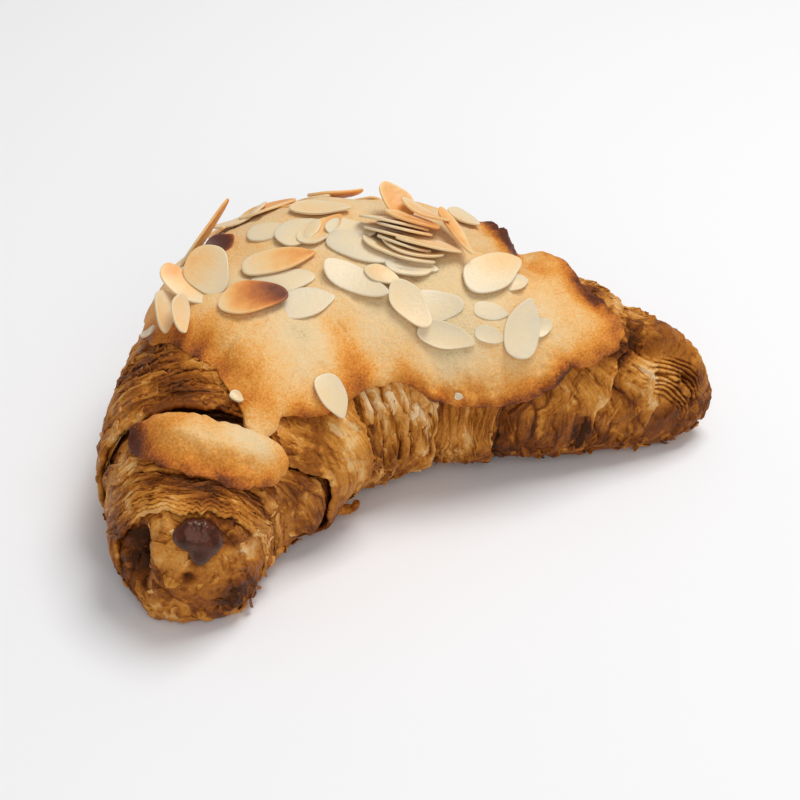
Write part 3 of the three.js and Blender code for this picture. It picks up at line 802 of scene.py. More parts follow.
def raised(t, phi, lift):
    """Points above the smooth dough by lift, which fades out near the table."""
    point = loft(t, phi)
    firm = smoothstep(point[..., 2], 0, FLOOR_CLEAR)
    point = point + directions(t, phi)[1] * (lift * firm)[..., None]
    point[..., 2] = np.maximum(point[..., 2], 0)
    return point


def place_above(t, degrees, lift):
    """One point above the smooth dough by lift."""
    return raised(np.float64(t), np.float64(np.radians(degrees)), np.float64(lift))


def on_cream(t, phi, lift):
    """Points above the draped dough by lift."""
    return raised(t, phi, draped_relief(t, phi) + lift)


def tube_faces(rows, cols, first, flip):
    """Corner numbers and sizes of a closed tube's faces: quads between rows, and a fan to a pole at each
    end."""
    i = np.arange(rows - 1)[:, None] * cols + 1
    j = np.arange(cols)[None, :]
    k = (j + 1) % cols
    quads = np.stack([i + j, i + k, i + k + cols, i + j + cols], -1).reshape(-1, 4)
    last = 1 + (rows - 1) * cols
    start = np.stack([np.zeros(cols, int), 1 + k[0], 1 + j[0]], -1)
    end = np.stack([np.full(cols, last + cols), last + j[0], last + k[0]], -1)
    if flip:
        quads, start, end = quads[:, ::-1], start[:, ::-1], end[:, ::-1]
    corners = np.concatenate([start.ravel(), quads.ravel(), end.ravel()]) + first
    sizes = np.concatenate([np.full(cols, 3), np.full(len(quads), 4), np.full(cols, 3)])
    return corners, sizes


def make_piece(name, shells, material, node, flip=False, smooth=True):
    """One mesh object of closed tubes, which stands for a node of the solids. A shell is a grid of points in
    mm, the points that close its first and last rows, and attributes with a number or a vector a point."""
    points, corners, sizes, values = [], [], [], {}
    count = 0
    for grid, pole_a, pole_b, attributes in shells:
        rows, cols = grid.shape[:2]
        face_corners, face_sizes = tube_faces(rows, cols, count, flip)
        corners.append(face_corners)
        sizes.append(face_sizes)
        points.append(np.vstack([pole_a[None], grid.reshape(-1, 3), pole_b[None]]))
        for key, value in attributes.items():
            flat = value.reshape((rows * cols,) + value.shape[2:])
            ends = [value[k].mean(axis=0, keepdims=True) for k in (0, -1)]
            values.setdefault(key, []).append(np.concatenate([ends[0], flat, ends[1]]))
        count += rows * cols + 2
    points = np.vstack(points) * MM
    corners, sizes = np.concatenate(corners), np.concatenate(sizes)
    mesh = bpy.data.meshes.new(name)
    mesh.vertices.add(len(points))
    mesh.vertices.foreach_set("co", points.ravel())
    mesh.loops.add(len(corners))
    mesh.loops.foreach_set("vertex_index", corners.astype(np.int32))
    mesh.polygons.add(len(sizes))
    mesh.polygons.foreach_set("loop_start", np.concatenate([[0], np.cumsum(sizes)[:-1]]).astype(np.int32))
    mesh.update(calc_edges=True)
    mesh.polygons.foreach_set("use_smooth", np.full(len(sizes), smooth))
    for key, value in values.items():
        value = np.concatenate(value).astype(np.float32)
        if value.ndim == 2:
            mesh.attributes.new(key, "FLOAT_VECTOR", "POINT").data.foreach_set("vector", value.ravel())
        else:
            mesh.attributes.new(key, "FLOAT", "POINT").data.foreach_set("value", value)
    mesh.materials.append(material)
    piece = bpy.data.objects.new(name, mesh)
    bpy.context.scene.collection.objects.link(piece)
    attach(piece, "root")
    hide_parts(node)
    return piece


def linear(red, green, blue):
    """Linear colour of a screen colour given from 0 to 255."""
    c = np.array([red, green, blue]) / 255.0
    return tuple(np.where(c <= 0.04045, c / 12.92, ((c + 0.055) / 1.055) ** 2.4)) + (1.0,)


class Finish:
    """A principled material with a few short ways to add nodes."""

    def __init__(self, name):
        self.material = bpy.data.materials.new(name)
        self.material.use_nodes = True
        self.tree = self.material.node_tree
        self.shader = self.tree.nodes["Principled BSDF"]
        self.place = self.node("ShaderNodeTexCoord").outputs["Object"]

    def node(self, kind, **settings):
        """A new node with its settings."""
        made = self.tree.nodes.new(kind)
        for key, value in settings.items():
            setattr(made, key, value)
        return made

    def link(self, a, b):
        """A link from socket a to socket b."""
        self.tree.links.new(a, b)

    def attribute(self, key, output="Fac"):
        """A value that the mesh carries a point."""
        return self.node("ShaderNodeAttribute", attribute_name=key).outputs[output]

    def noise(self, size_mm, detail=3.0, roughness=0.55):
        """Noise from 0 to 1 on the object's own coordinates."""
        made = self.node("ShaderNodeTexNoise")
        made.inputs["Scale"].default_value = 1.0 / (size_mm * MM)
        made.inputs["Detail"].default_value = detail
        made.inputs["Roughness"].default_value = roughness
        self.link(self.place, made.inputs["Vector"])
        return made.outputs["Fac"]

    def stretched_noise(self, key, sizes_mm, detail=3.0):
        """Noise on a vector attribute that is in mm, with its own size along each axis."""
        scaled = self.node("ShaderNodeMapping")
        scaled.inputs["Scale"].default_value = [1.0 / size for size in sizes_mm]
        self.link(self.attribute(key, "Vector"), scaled.inputs["Vector"])
        made = self.node("ShaderNodeTexNoise")
        made.inputs["Scale"].default_value = 1.0
        made.inputs["Detail"].default_value = detail
        self.link(scaled.outputs["Vector"], made.inputs["Vector"])
        return made.outputs["Fac"]

    def maths(self, operation, a, b):
        """A sum, difference or product of two values, each a number or a socket."""
        made = self.node("ShaderNodeMath", operation=operation)
        for socket, value in zip(made.inputs, (a, b)):
            if isinstance(value, (int, float)):
                socket.default_value = value
            else:
                self.link(value, socket)
        return made.outputs[0]

    def wobble(self, value, noise, amount):
        """A value moved up and down by a noise that runs from 0 to 1."""
        centred = self.maths("MULTIPLY", self.maths("SUBTRACT", noise, 0.5), amount)
        return self.maths("ADD", value, centred)

    def ramp(self, value, stops):
        """Colours along a value from 0 to 1."""
        made = self.node("ShaderNodeValToRGB")
        points = made.color_ramp.elements
        while len(points) < len(stops):
            points.new(0.5)
        for point, (at, colour) in zip(points, stops):
            point.position = at
            point.color = linear(*colour)
        self.link(value, made.inputs["Fac"])
        return made.outputs["Color"]

    def span(self, value, low, high):
        """A value from 0 to 1 spread over low to high."""
        made = self.node("ShaderNodeMapRange")
        made.inputs["To Min"].default_value = low
        made.inputs["To Max"].default_value = high
        self.link(value, made.inputs["Value"])
        return made.outputs["Result"]

    def bump(self, heights, depth_mm):
        """Fine relief, finer than the mesh."""
        made = self.node("ShaderNodeBump")
        made.inputs["Strength"].default_value = 1.0
        made.inputs["Distance"].default_value = depth_mm * MM
        self.link(heights, made.inputs["Height"])
        self.link(made.outputs["Normal"], self.shader.inputs["Normal"])

    def glow(self, weight, radius_mm):
        """Light scattered below the surface."""
        self.shader.inputs["Subsurface Weight"].default_value = weight
        self.shader.inputs["Subsurface Radius"].default_value = [r * MM for r in radius_mm]
        self.shader.inputs["Subsurface Scale"].default_value = 1.0


def crust_finish():
    """Baked dough: from torn pale plies to burnt ridges by the bake attribute, which also carries painted
    shade and highlights, broken up by fine layers.
    """
    finish = Finish("baked_crust")
    layers = finish.stretched_noise("grain", (0.6, 7.0, 7.0), 4.0)
    speckle = finish.noise(0.8, 3.0, 0.6)
    bake = finish.attribute("bake")
    bake = finish.wobble(bake, finish.noise(5.0, 4.0), 0.42)
    bake = finish.wobble(bake, layers, 0.32)
    bake = finish.wobble(bake, speckle, 0.3)
    colour = finish.ramp(bake, CRUST_TONES)
    finish.link(colour, finish.shader.inputs["Base Color"])
    finish.link(finish.span(finish.noise(3.0), 0.32, 0.68), finish.shader.inputs["Roughness"])
    ridges, grains = finish.maths("MULTIPLY", layers, 0.7), finish.maths("MULTIPLY", speckle, 0.5)
    heights = finish.maths("ADD", ridges, grains)
    finish.shader.inputs["Specular IOR Level"].default_value = 0.3
    finish.shader.inputs["Specular Tint"].default_value = WARM_SHINE
    finish.bump(heights, 0.4)
    return finish.material


def cream_finish():
    """Baked almond cream: pale in the middle, browned at the rim by the brown attribute, finely grained."""
    finish = Finish("baked_almond_cream")
    grain = finish.noise(0.65, 3.0, 0.65)
    brown = finish.attribute("brown")
    brown = finish.wobble(brown, finish.noise(7.0, 3.0), 0.28)
    brown = finish.wobble(brown, grain, 0.5)
    colour = finish.ramp(brown, CREAM_TONES)
    finish.link(colour, finish.shader.inputs["Base Color"])
    finish.link(finish.span(finish.noise(1.5), 0.38, 0.66), finish.shader.inputs["Roughness"])
    finish.shader.inputs["Specular IOR Level"].default_value = 0.3
    finish.shader.inputs["Specular Tint"].default_value = WARM_SHINE
    finish.glow(0.1, (3.0, 1.6, 0.7))
    finish.bump(grain, 0.4)
    return finish.material


def almond_finish():
    """Sliced almond: creamy white, toasted to orange brown by the toast attribute."""
    finish = Finish("flaked_almond")
    toast = finish.attribute("toast")
    toast = finish.wobble(toast, finish.noise(4.0, 2.0), 0.22)
    toast = finish.wobble(toast, finish.noise(0.7, 2.0), 0.08)
    colour = finish.ramp(toast, ALMOND_TONES)
    finish.link(colour, finish.shader.inputs["Base Color"])
    finish.shader.inputs["Roughness"].default_value = 0.4
    finish.glow(0.2, (2.0, 1.4, 0.8))
    finish.bump(finish.noise(1.0, 2.0), 0.1)
    return finish.material


def caramel_finish():
    """Caramelised cream: dark reddish brown, glossy and uneven."""
    finish = Finish("dark_caramel")
    colour = finish.ramp(finish.noise(3.0, 3.0), CARAMEL_TONES)
    finish.link(colour, finish.shader.inputs["Base Color"])
    finish.shader.inputs["Roughness"].default_value = 0.28
    finish.shader.inputs["Specular Tint"].default_value = CARAMEL_SHINE
    finish.bump(finish.noise(1.6, 3.0), 0.4)
    return finish.material


# An end of a wrap: its kind (the tip, free, or under the next wrap), the way it faces, and for each column
# the t of its edge, the millimetres a unit of t there, and the step.
End = namedtuple("End", "kind side line pace step")


def wrap_end(index, side, phi):
    """A wrap's end on one side, with its edge line made ragged by noise round the roll."""
    edge_index = index - 1 if side < 0 else index
    if not 0 <= edge_index < len(WRAP_EDGES):
        return End("tip", side, 0 * phi, 0 * phi + RUN, 0 * phi)
    edge = WRAP_EDGES[edge_index]
    line = edge_line(edge, phi)
    pace = (travel(line + SMALL_STEP, phi) - travel(line - SMALL_STEP, phi)) / (2 * SMALL_STEP)
    ring = np.stack([np.cos(phi), np.sin(phi), np.full(len(phi), EDGE_SPACING * edge_index)], -1)
    ragged = sum(height * bump_noise(ring, size, seed) for height, size, seed in RAGGED)
    kind = "free" if edge.way == side else "under"
    return End(kind, side, line + ragged / pace, pace, edge.step + 0 * phi)


def open_limit(end):
    """t at which a wrap's open surface ends."""
    if end.kind == "tip":
        return end.line + (POLE_GAP if end.side < 0 else 1 - POLE_GAP)
    return end.line + end.side * (HIDDEN if end.kind == "under" else -LIP_RADIUS) / end.pace


def add_lip(t, height, end):
    """Rows that roll a free edge over its radius and tuck it in below, put before the first row of t."""
    reach = LIP_RADIUS * (1 - np.cos(LIP_ANGLES))
    roll_t = end.line - end.side * reach / end.pace
    roll_height = LIP_RADIUS * (np.sin(LIP_ANGLES) - 1) + np.zeros_like(roll_t)
    depth = np.linspace(LIP_TUCK, LIP_RADIUS, LIP_TUCK_ROWS, endpoint=False)[:, None]
    tuck_t = end.line - end.side * depth / end.pace
    tuck_height = -2 * LIP_RADIUS - UNDER_SLOPE * depth + np.zeros_like(tuck_t)
    return np.vstack([tuck_t, roll_t, t]), np.vstack([tuck_height, roll_height, height])


def wrap_rows(rows, left, right):
    """t of a wrap's rows from end to end, crowded towards a tip, and the height of the lip on a free edge."""
    w = np.linspace(0, 1, rows)
    if left.kind == "tip":
        w = w**TIP_CROWDING
    if right.kind == "tip":
        w = 1 - (1 - w) ** TIP_CROWDING
    t = open_limit(left) + (open_limit(right) - open_limit(left)) * w[:, None]
    height = np.zeros_like(t)
    if left.kind == "free":
        t, height = add_lip(t, height, left)
    if right.kind == "free":
        t, height = add_lip(t[::-1], height[::-1], right)
        t, height = t[::-1], height[::-1]
    return t, height


def end_pole(t_ring, end):
    """The point that closes a wrap's end: the tip itself, or the middle of the dough inside the end ring."""
    if end.kind == "tip":
        return spot(0 if end.side < 0 else 1, 0)
    row = through(SECTIONS, np.float64(t_ring.mean()))
    return np.array([(row[0] + row[2]) / 2, (row[1] + row[3]) / 2, WIDEST * row[4]]) - MIDDLE


def rolled_end(points):
    """Grooves of the rolled end: a stretched and arched spiral on the dough, deepest in the gaps between
    its layers."""
    first, last = spot(*ROLL_FROM), spot(*ROLL_TO)
    middle_t, middle_deg = (np.array(ROLL_FROM) + np.array(ROLL_TO)) / 2
    out = axes_at(middle_t, middle_deg)[:, 2]
    lengthways = unit(last - first)
    sideways = np.cross(out, lengthways)
    offset = points - (first + last) / 2
    x = offset @ lengthways
    y = offset @ sideways + x**2 / (2 * ROLL_BEND)
    radius = np.hypot(x / ROLL_STRETCH, y)
    within = np.hypot(x / ROLL_LENGTH, y / ROLL_WIDTH)
    stray = ROLL_STRAY * bump_noise(points, ROLL_STRAY_SIZE, ROLL_STRAY_SEED)
    phase = radius / ROLL_PITCH + np.arctan2(y, x) / TURN + stray
    groove = 1 - smoothstep(np.abs(phase - np.round(phase)), *ROLL_GAP)
    return groove * (1 - smoothstep(within, *ROLL_FADE)) * (offset @ out > -ROLL_LENGTH)


def torn_plies(skin, grain, base, phi, from_lip):
    """Height and bake of the torn plies: teeth in the distance from the free edge, each a plate that slopes
    down to the crisp edge of the next, in patches and lower in front. The bake is darker at a ply's foot,
    painted shade below the next ply's edge."""
    reach = np.maximum(from_lip, 0)
    fray = PLY_FRAY_DEPTH * bump_noise(base, *PLY_FRAY) + PLY_FRINGE_DEPTH * bump_noise(base, *PLY_FRINGE)
    turns = reach * (reach + 1) / (reach + 1 + skin.lead) / skin.pitch
    turns = turns + skin.stray * bump_noise(grain, *PLY_SWAY)
    turns = turns + fray / skin.pitch
    level = np.floor(turns)
    share = turns - level
    deep = PLY_SHALLOW + PLY_DEEPER * (np.sin(level * SCRAMBLE) > PLY_DEEPER_ABOVE)
    degrees = np.degrees(phi)
    in_front = smoothstep(degrees, *FRONT_FROM) * (1 - smoothstep(degrees, *FRONT_TO))
    patchy = smoothstep(bump_noise(base, *PLY_PATCH), *PLY_PATCH_LEVELS)
    patchy = PLY_PATCH_LEAST + (1 - PLY_PATCH_LEAST) * patchy
    patchy = patchy * (1 - (1 - skin.front) * in_front)
    crisp = np.exp(-share * skin.pitch / PLY_CRISP)
    tooth = patchy * deep * (0.5 - share - PLY_CRISP_DIP * crisp)
    tint = PLY_TINT * np.sin(level * TINT_SCRAMBLE + TINT_SHIFT * skin.pitch)
    shade = tint - PLY_CRISP_PALE * crisp + PLY_GAP_SHADE * smoothstep(share, *PLY_GAP)
    return skin.ply * tooth, min(1, skin.ply) * patchy * deep * shade


def rope_folds(skin, grain, base):
    """Height and bake of the folds: half-round ropes along the roll at their own spacing, in patches, with
    painted shade between the ropes and a painted highlight on their crests.
    """
    sway = bump_noise(grain, (FOLD_SWAY_GAPS * skin.gap, FOLD_SWAY_ROUND, FOLD_SWAY_ROUND), FOLD_SWAY_SEED)
    phase = grain[..., 0] / skin.gap + FOLD_SWAY * sway
    phase = phase + FOLD_JITTERS * bump_noise(base, *FOLD_JITTER)
    rope = np.sqrt(1 - (2 * (phase - np.floor(phase)) - 1) ** 2)
    strength = smoothstep(bump_noise(grain, *FOLD_PATCH), *FOLD_PATCH_LEVELS)
    strength = FOLD_PATCH_LEAST + (1 - FOLD_PATCH_LEAST) * strength
    shade = FOLD_GAP_SHADE * (1 - rope) ** 2 - FOLD_RIDGE_HIGHLIGHT * rope
    return skin.fold * strength * (rope - FOLD_MEAN), min(1, skin.fold) * strength * shade


def crust_skin(skin, grain, base, phi, from_lip):
    """Height of the crust's flakes in mm, and how they change the bake: torn plies and folds, with fibres,
    torn patches, blisters and pits as noise at their own sizes."""
    ply_height, ply_bake = torn_plies(skin, grain, base, phi, from_lip)
    fold_height, fold_bake = rope_folds(skin, grain, base)
    bent = grain.copy()
    bent[..., 0] = bent[..., 0] + FIBRE_WARPS * bump_noise(base, *FIBRE_WARP)
    fibre = bump_noise(bent, *FIBRE)
    torn = bump_noise(bent, *TEAR) + TEAR_FRAYS * bump_noise(base, *TEAR_FRAY)
    torn = smoothstep(torn, *TEAR_LEVELS)
    blister = np.maximum(rough_noise(base, *BLISTER), 0)
    pit = smoothstep(bump_noise(base, *PIT), *PIT_LEVELS)
    height = ply_height + fold_height + skin.fibre * fibre
    height = height - skin.torn * torn + skin.blister * blister - skin.pit * pit
    bake = ply_bake + fold_bake - FIBRE_PALE * fibre - TEAR_PALE * torn
    # Darker pits: painted shade in them.
    bake = bake + BLISTER_DARK * blister + PIT_SHADE * min(1, skin.pit) * pit
    return height, bake


def crust_bake(points):
    """How dark the crust is baked: a mean, slow noise, a darker foot, and the patches as soft spots."""
    bake = BAKE_MEAN + BAKE_DRIFT * rough_noise(points, BAKE_DRIFT_SIZE, BAKE_DRIFT_SEED, 2)
    bake = bake + FOOT_DARK * (1 - smoothstep(points[..., 2], *FOOT_DARK_HEIGHT))
    for t, degrees, radius, amount in CRUST_PATCHES:
        bake = bake + amount * near_spot(points, t, degrees, radius)
    return bake


def roll_grain(way, phi):
    """Coordinates in mm that follow the roll: along it, and two round it."""
    return np.stack([way, GIRTH * np.cos(phi), GIRTH * np.sin(phi)], -1)


def tip_grain(base):
    """Coordinates in mm at a tip, where the grain is squeezed and swirled by noise."""
    swirl = np.stack([bump_noise(base, TIP_SWIRL_SIZE, seed) for seed in TIP_SWIRL_SEEDS], -1)
    return base * TIP_GRAIN + TIP_SWIRL * swirl


# A wrap's surface: its grid of points, the points that close its ends, and for each point of the grid its t
# and angle, the millimetres to the nearest edge, its bake and its grain.
Wrap = namedtuple("Wrap", "points poles t phi room bake grain")


def wrap_surface(index):
    """One wrap of the roll: a tube between two edge lines. A free edge is rolled over a small radius and
    tucked in; the other end runs on under the next wrap. The crust's flakes are added as height."""
    rows, cols, skin = WRAPS[index]
    ring = np.arange(cols) / cols * TURN
    left, right = (wrap_end(index, side, ring) for side in (-1, 1))
    kinds = left.kind, right.kind
    t, height = wrap_rows(rows, left, right)
    phi = np.broadcast_to(ring, t.shape)
    base = loft(t, phi)
    way = travel(t, phi)
    from_lip = np.full(t.shape, FAR_OFF) if "free" in kinds else way
    from_cover = np.full(t.shape, FAR_OFF)
    cover_shade = 0.0
    for end in (left, right):
        inside = -end.side * (way - travel(end.line, ring))
        swell = end.step / 2 * np.exp(-np.maximum(inside, 0) / WRAP_REACH)
        if end.kind == "free":
            from_lip = np.minimum(from_lip, inside)
            height = height + swell
        if end.kind == "under":
            from_cover = inside
            cover_shade = COVER_SHADE * np.minimum(end.step / COVER_SHADE_STEP, 1)
            height = height - swell - UNDER_SLOPE * np.maximum(-inside, 0)
    height = height - gape(t, phi) - hollow_depth(index, base)
    grain = tip_grain(base) if "tip" in kinds else roll_grain(way, phi)
    flakes, bake = crust_skin(skin, grain, base, phi, from_lip)
    height = height + (LIP_CALM + (1 - LIP_CALM) * smoothstep(from_lip, 0.0, LIP_CALM_REACH)) * flakes
    bake = bake + crust_bake(base)
    bake = bake - LIP_PALE * np.exp(-np.maximum(from_lip, 0) / LIP_PALE_REACH)
    # Painted shade in the corner below the next wrap's step.
    bake = bake + cover_shade * np.exp(-np.maximum(from_cover, 0) / COVER_SHADE_REACH)
    groove = rolled_end(base)
    height = height - ROLL_DEPTH * groove
    # Painted shade in the rolled end's grooves.
    bake = bake + ROLL_GAP_SHADE * groove
    points = raised(t, phi, height)
    poles = end_pole(t[0], left), end_pole(t[-1], right)
    return Wrap(points, poles, t, phi, np.minimum(from_lip, from_cover), bake, grain)


def soften(grid, rows, cols):
    """Mean over a window that many rows and columns to each side; the columns run round."""
    padded = np.pad(np.pad(grid, ((rows, rows), (0, 0)), mode="edge"), ((0, 0), (cols, cols)), mode="wrap")
    windows = np.lib.stride_tricks.sliding_window_view(padded, (2 * rows + 1, 2 * cols + 1))
    return windows.mean(axis=(2, 3))


def rim_distance(points, rim):
    """Distance from each point to the closed line through the rim's points, and the nearest one's number."""
    flat = points.reshape(-1, 3)
    square = (flat**2).sum(axis=1)[:, None] - 2 * flat @ rim.T + (rim**2).sum(axis=1)
    nearest = square.argmin(axis=1)
    step = np.roll(rim, -1, axis=0) - np.roll(rim, 1, axis=0)
    half = np.linalg.norm(step, axis=1)[nearest] / 4
    ahead = unit(step)[nearest]
    offset = flat - rim[nearest]
    beside = np.clip((offset * ahead).sum(axis=1), -half, half)
    gap = np.linalg.norm(offset - beside[:, None] * ahead, axis=1)
    return gap.reshape(points.shape[:2]), nearest.reshape(points.shape[:2])


# A layer on the dough: t and angle of its points, their lift, their distance from the outline and the scorch.
Layer = namedtuple("Layer", "t phi lift inside scorch")


def layer_grid(centre, edge, thickness, lip, cols, seed):
    """A layer on the dough: rays from its middle to its outline, then under the rim and back to the middle.
    It rises from the rim as a quarter of an oval in the true distance from the outline, to a height that
    grows from the rim's plumpness to the full thickness."""
    rim = through(edge, np.arange(cols) / cols, closed=True)
    rim_t, rim_phi, plump, scorch = rim[:, 0], np.radians(rim[:, 1]), rim[:, 2], rim[:, 3]
    mid_t, mid_phi = centre[0], np.radians(centre[1])
    edge_points = loft(rim_t, rim_phi)
    waves = enumerate(RIM_WAVER, seed)
    waver = sum(height * bump_noise(edge_points, size, wave_seed) for wave_seed, (height, size) in waves)
    reach = np.linalg.norm(edge_points - spot(*centre), axis=-1)
    ray = 1 + waver / reach
    share = 1 - (1 - np.linspace(LAYER_CORE, 1, LAYER_ROWS)[:, None]) ** LAYER_CROWDING
    t = mid_t + share * ray * (rim_t - mid_t)
    phi = mid_phi + share * ray * (rim_phi - mid_phi)
    inside, nearest = rim_distance(loft(t, phi), loft(t[-1], phi[-1])[::RIM_STEP])
    inside = soften(inside, *INSIDE_SOFT) * (share < 1)
    plump_there = soften(plump[::RIM_STEP][nearest], *PLUMP_SOFT)
    scorch_there = soften(scorch[::RIM_STEP][nearest], *SCORCH_SOFT)
    width = lip * (RIM_THIN + (1 - RIM_THIN) * plump_there)
    quarter = np.sqrt(1 - (1 - np.minimum(inside / width, 1)) ** 2)
    full = plump_there + (1 - plump_there) * smoothstep(inside, RIM_RISE_FROM * width, width + RIM_RISE)
    full = soften(full, *HEIGHT_SOFT)
    full = full + (full.mean(axis=1, keepdims=True) - full) * (1 - smoothstep(share, 0.0, LAYER_EVEN))
    lift = thickness * full * (RIM_FOOT + (1 - RIM_FOOT) * quarter)
    back = UNDER_IN / reach
    under_lift = thickness * plump * RIM_FOOT * UNDER_LEVELS - UNDER_SINK
    return Layer(
        np.vstack([t, t[-1] + back * (mid_t - rim_t)]),
        np.vstack([phi, phi[-1] + back * (mid_phi - rim_phi)]),
        np.vstack([lift, under_lift]),
        np.vstack([inside, 0 * under_lift]),
        np.vstack([scorch_there, scorch + 0 * under_lift]),
    )


def cream_shell(centre, edge, thickness, base_brown, cols, seed):
    """A layer of cream with slow swells, dimples, grit and burnt lumps, browned at the rim and in patches."""
    t, phi, lift, inside, scorch = layer_grid(centre, edge, thickness, CREAM_LIP, cols, seed)
    base = loft(t, phi)
    swell = sum(height * bump_noise(base, size, seed + 2 + k) for k, (height, size) in enumerate(SWELLS))
    dimple = -DIMPLE * smoothstep(bump_noise(base, DIMPLE_SIZE, seed + 4), *DIMPLE_LEVELS)
    grit = GRIT * bump_noise(base, GRIT_SIZE, seed + 6)
    lift = lift + smoothstep(inside, *SWELL_FADE) * (swell + dimple) + (lift > 0) * grit
    lumps = np.maximum(rough_noise(base, LUMP_SIZE, seed + 7), LUMP_LOWEST)
    burnt = smoothstep(scorch, *BURNT_LEVELS) * np.exp(-((inside / BURNT_REACH) ** 2))
    lift = lift + (lift > 0) * smoothstep(inside, *LUMP_FADE) * BURNT_LUMPS * burnt * lumps
    scorch = scorch * (1 + SCORCH_MOTTLE * bump_noise(base, SCORCH_MOTTLE_SIZE, seed + 8))
    for bump_t, degrees, radius, height in CREAM_BUMPS:
        lift = lift + (lift > 0) * height * near_spot(base, bump_t, degrees, radius)
    points = on_cream(t, phi, lift)
    brown = base_brown + (scorch - base_brown) * np.exp(-((inside / RIM_BROWN) ** RIM_BROWN_FADE))
    brown = brown + BROWN_MOTTLE * bump_noise(base, BROWN_MOTTLE_SIZE, seed + 5)
    for patch_t, degrees, radius, amount in CREAM_PATCHES:
        brown = brown + amount * near_spot(base, patch_t, degrees, radius)
    return points, points[0].mean(axis=0), place_above(*centre, -CREAM_BED), dict(brown=brown)


def flap_shell():
    """The flap of dough in front of the shoulder: a thin layer that runs out under the shoulder's crust and
    stands free along its right edge, down to a pointed shard."""
    t, phi, lift, inside, scorch = layer_grid(FLAP_CENTRE, FLAP_EDGE, FLAP, FLAP_LIP, FLAP_COLUMNS, FLAP_SEED)
    base = loft(t, phi)
    grain = roll_grain(travel(t, phi) - FLAP_SLANT * GIRTH * phi, phi)
    flakes, bake = crust_skin(FLAP_SKIN, grain, base, phi, inside)
    calm = smoothstep(inside, 0.0, FLAP_CALM) * (lift > 0)
    points = raised(t, phi, lift + calm * flakes)
    bake = bake + crust_bake(base) + FLAP_SCORCH * scorch - FLAP_PALE * np.exp(-inside / FLAP_PALE_REACH)
    return points, points[0].mean(axis=0), place_above(*FLAP_CENTRE, -CREAM_BED), dict(bake=bake, grain=grain)


def turn_matrix(axis, degrees):
    """Turn about one axis: 0 for x, 1 for y, 2 for z."""
    c, s = np.cos(np.radians(degrees)), np.sin(np.radians(degrees))
    i, j = [(1, 2), (2, 0), (0, 1)][axis]
    matrix = np.eye(3)
    matrix[i, i] = matrix[j, j] = c
    matrix[i, j], matrix[j, i] = -s, s
    return matrix


def flake_shell(row, draws):
    """An almond slice: an oval with one pointed end and a wavering outline, bent along its length, carried
    from the middle of its top over the rim to the middle of its underside."""
    t, degrees, turn, length, width, lift, lean, pitch, toast, rise = row
    angle = np.arange(FLAKE_SIDES) / FLAKE_SIDES * TURN
    waver = np.ones(FLAKE_SIDES)
    for height, waves in FLAKE_WAVES:
        waver = waver + height * np.sin(waves * angle + draws.uniform(*WAVE_START))
    slim = (1 - FLAKE_TAPER * np.cos(angle)) * (1 - FLAKE_POINT * ((1 + np.cos(angle)) / 2) ** 4)
    shares, levels = FLAKE_RINGS[:, :1], FLAKE_RINGS[:, 1:] * FLAKE_THICK / 2
    x = shares * (length / 2 * np.cos(angle) * waver)
    y = shares * (width / 2 * slim * np.sin(angle) * waver)
    bend = draws.uniform(*FLAKE_BEND)
    cup = draws.uniform(*FLAKE_CUP)
    z = levels + bend * (2 * x / length) ** 2 + cup * (2 * y / width) ** 2
    turned = turn_matrix(2, -turn) @ turn_matrix(1, -pitch) @ turn_matrix(0, -lean)
    place = axes_at(t, degrees) @ turned
    seat = on_cream(np.float64(t), np.float64(np.radians(degrees)), np.float64(CREAM + lift))
    points = np.stack([x, y, z], -1) @ place.T + seat
    sway = draws.uniform(0, TURN)
    uneven = FLAKE_UNEVEN * (np.cos(sway) * x / length + np.sin(sway) * y / width)
    tint = toast - FLAKE_PALE_RIM * shares**6 + rise * (x / length) + uneven
    middle = np.array([0, 0, FLAKE_THICK / 2])
    return points, place @ middle + seat, place @ -middle + seat, dict(toast=tint)


def all_flakes():
    """The flakes that show, and those on the far side, spread evenly in t with seeded places and sizes."""
    draws = np.random.default_rng(FLAKE_SEED)
    rows = list(FLAKES)
    for k in range(FAR_COUNT):
        t = FAR_T[0] + (FAR_T[1] - FAR_T[0]) * (k + draws.uniform()) / FAR_COUNT
        degrees = draws.uniform(*FAR_DEG)
        length = draws.uniform(*FAR_LENGTH)
        toast = draws.uniform(*FAR_TOAST)
        turn = draws.uniform(0, 180)
        lift = FAR_LIFT + FAR_LIFT_STEP * (k % FAR_LIFT_LEVELS)
        rows.append((t, degrees, turn, length, FAR_SLIM * length, lift, 0, 0, toast, FAR_RISE))
    return [flake_shell(row, draws) for row in rows]


def layer_covers(t, degrees, edge):
    """Whether places lie within a layer's outline, by how often it crosses the line to their right."""
    covered = np.zeros(t.shape, bool)
    for start, end in zip(edge, np.roll(edge, -1, axis=0)):
        crossing = (start[1] > degrees) != (end[1] > degrees)
        share = (degrees - start[1]) / (end[1] - start[1] + 1e-9)
        covered ^= crossing & (t < start[0] + share * (end[0] - start[0]))
    return covered


def between_points(grid, row, col):
    """Values between a grid's points, blended from the four round each place; the columns run round."""
    row = np.clip(row, 0, len(grid) - 1.001)
    i, j = np.floor(row).astype(int), np.floor(col).astype(int)
    f, g = (row - i)[..., None], (col - j)[..., None]
    j, k = j % grid.shape[1], (j + 1) % grid.shape[1]
    before = (1 - g) * grid[i, j] + g * grid[i, k]
    after = (1 - g) * grid[i + 1, j] + g * grid[i + 1, k]
    return (1 - f) * before + f * after


def corner_angles(sides, draws):
    """Angles of a plate's corners round it, unevenly spaced."""
    return (np.arange(sides) + draws.uniform(*CORNER_STRAY, sides)) / sides * TURN


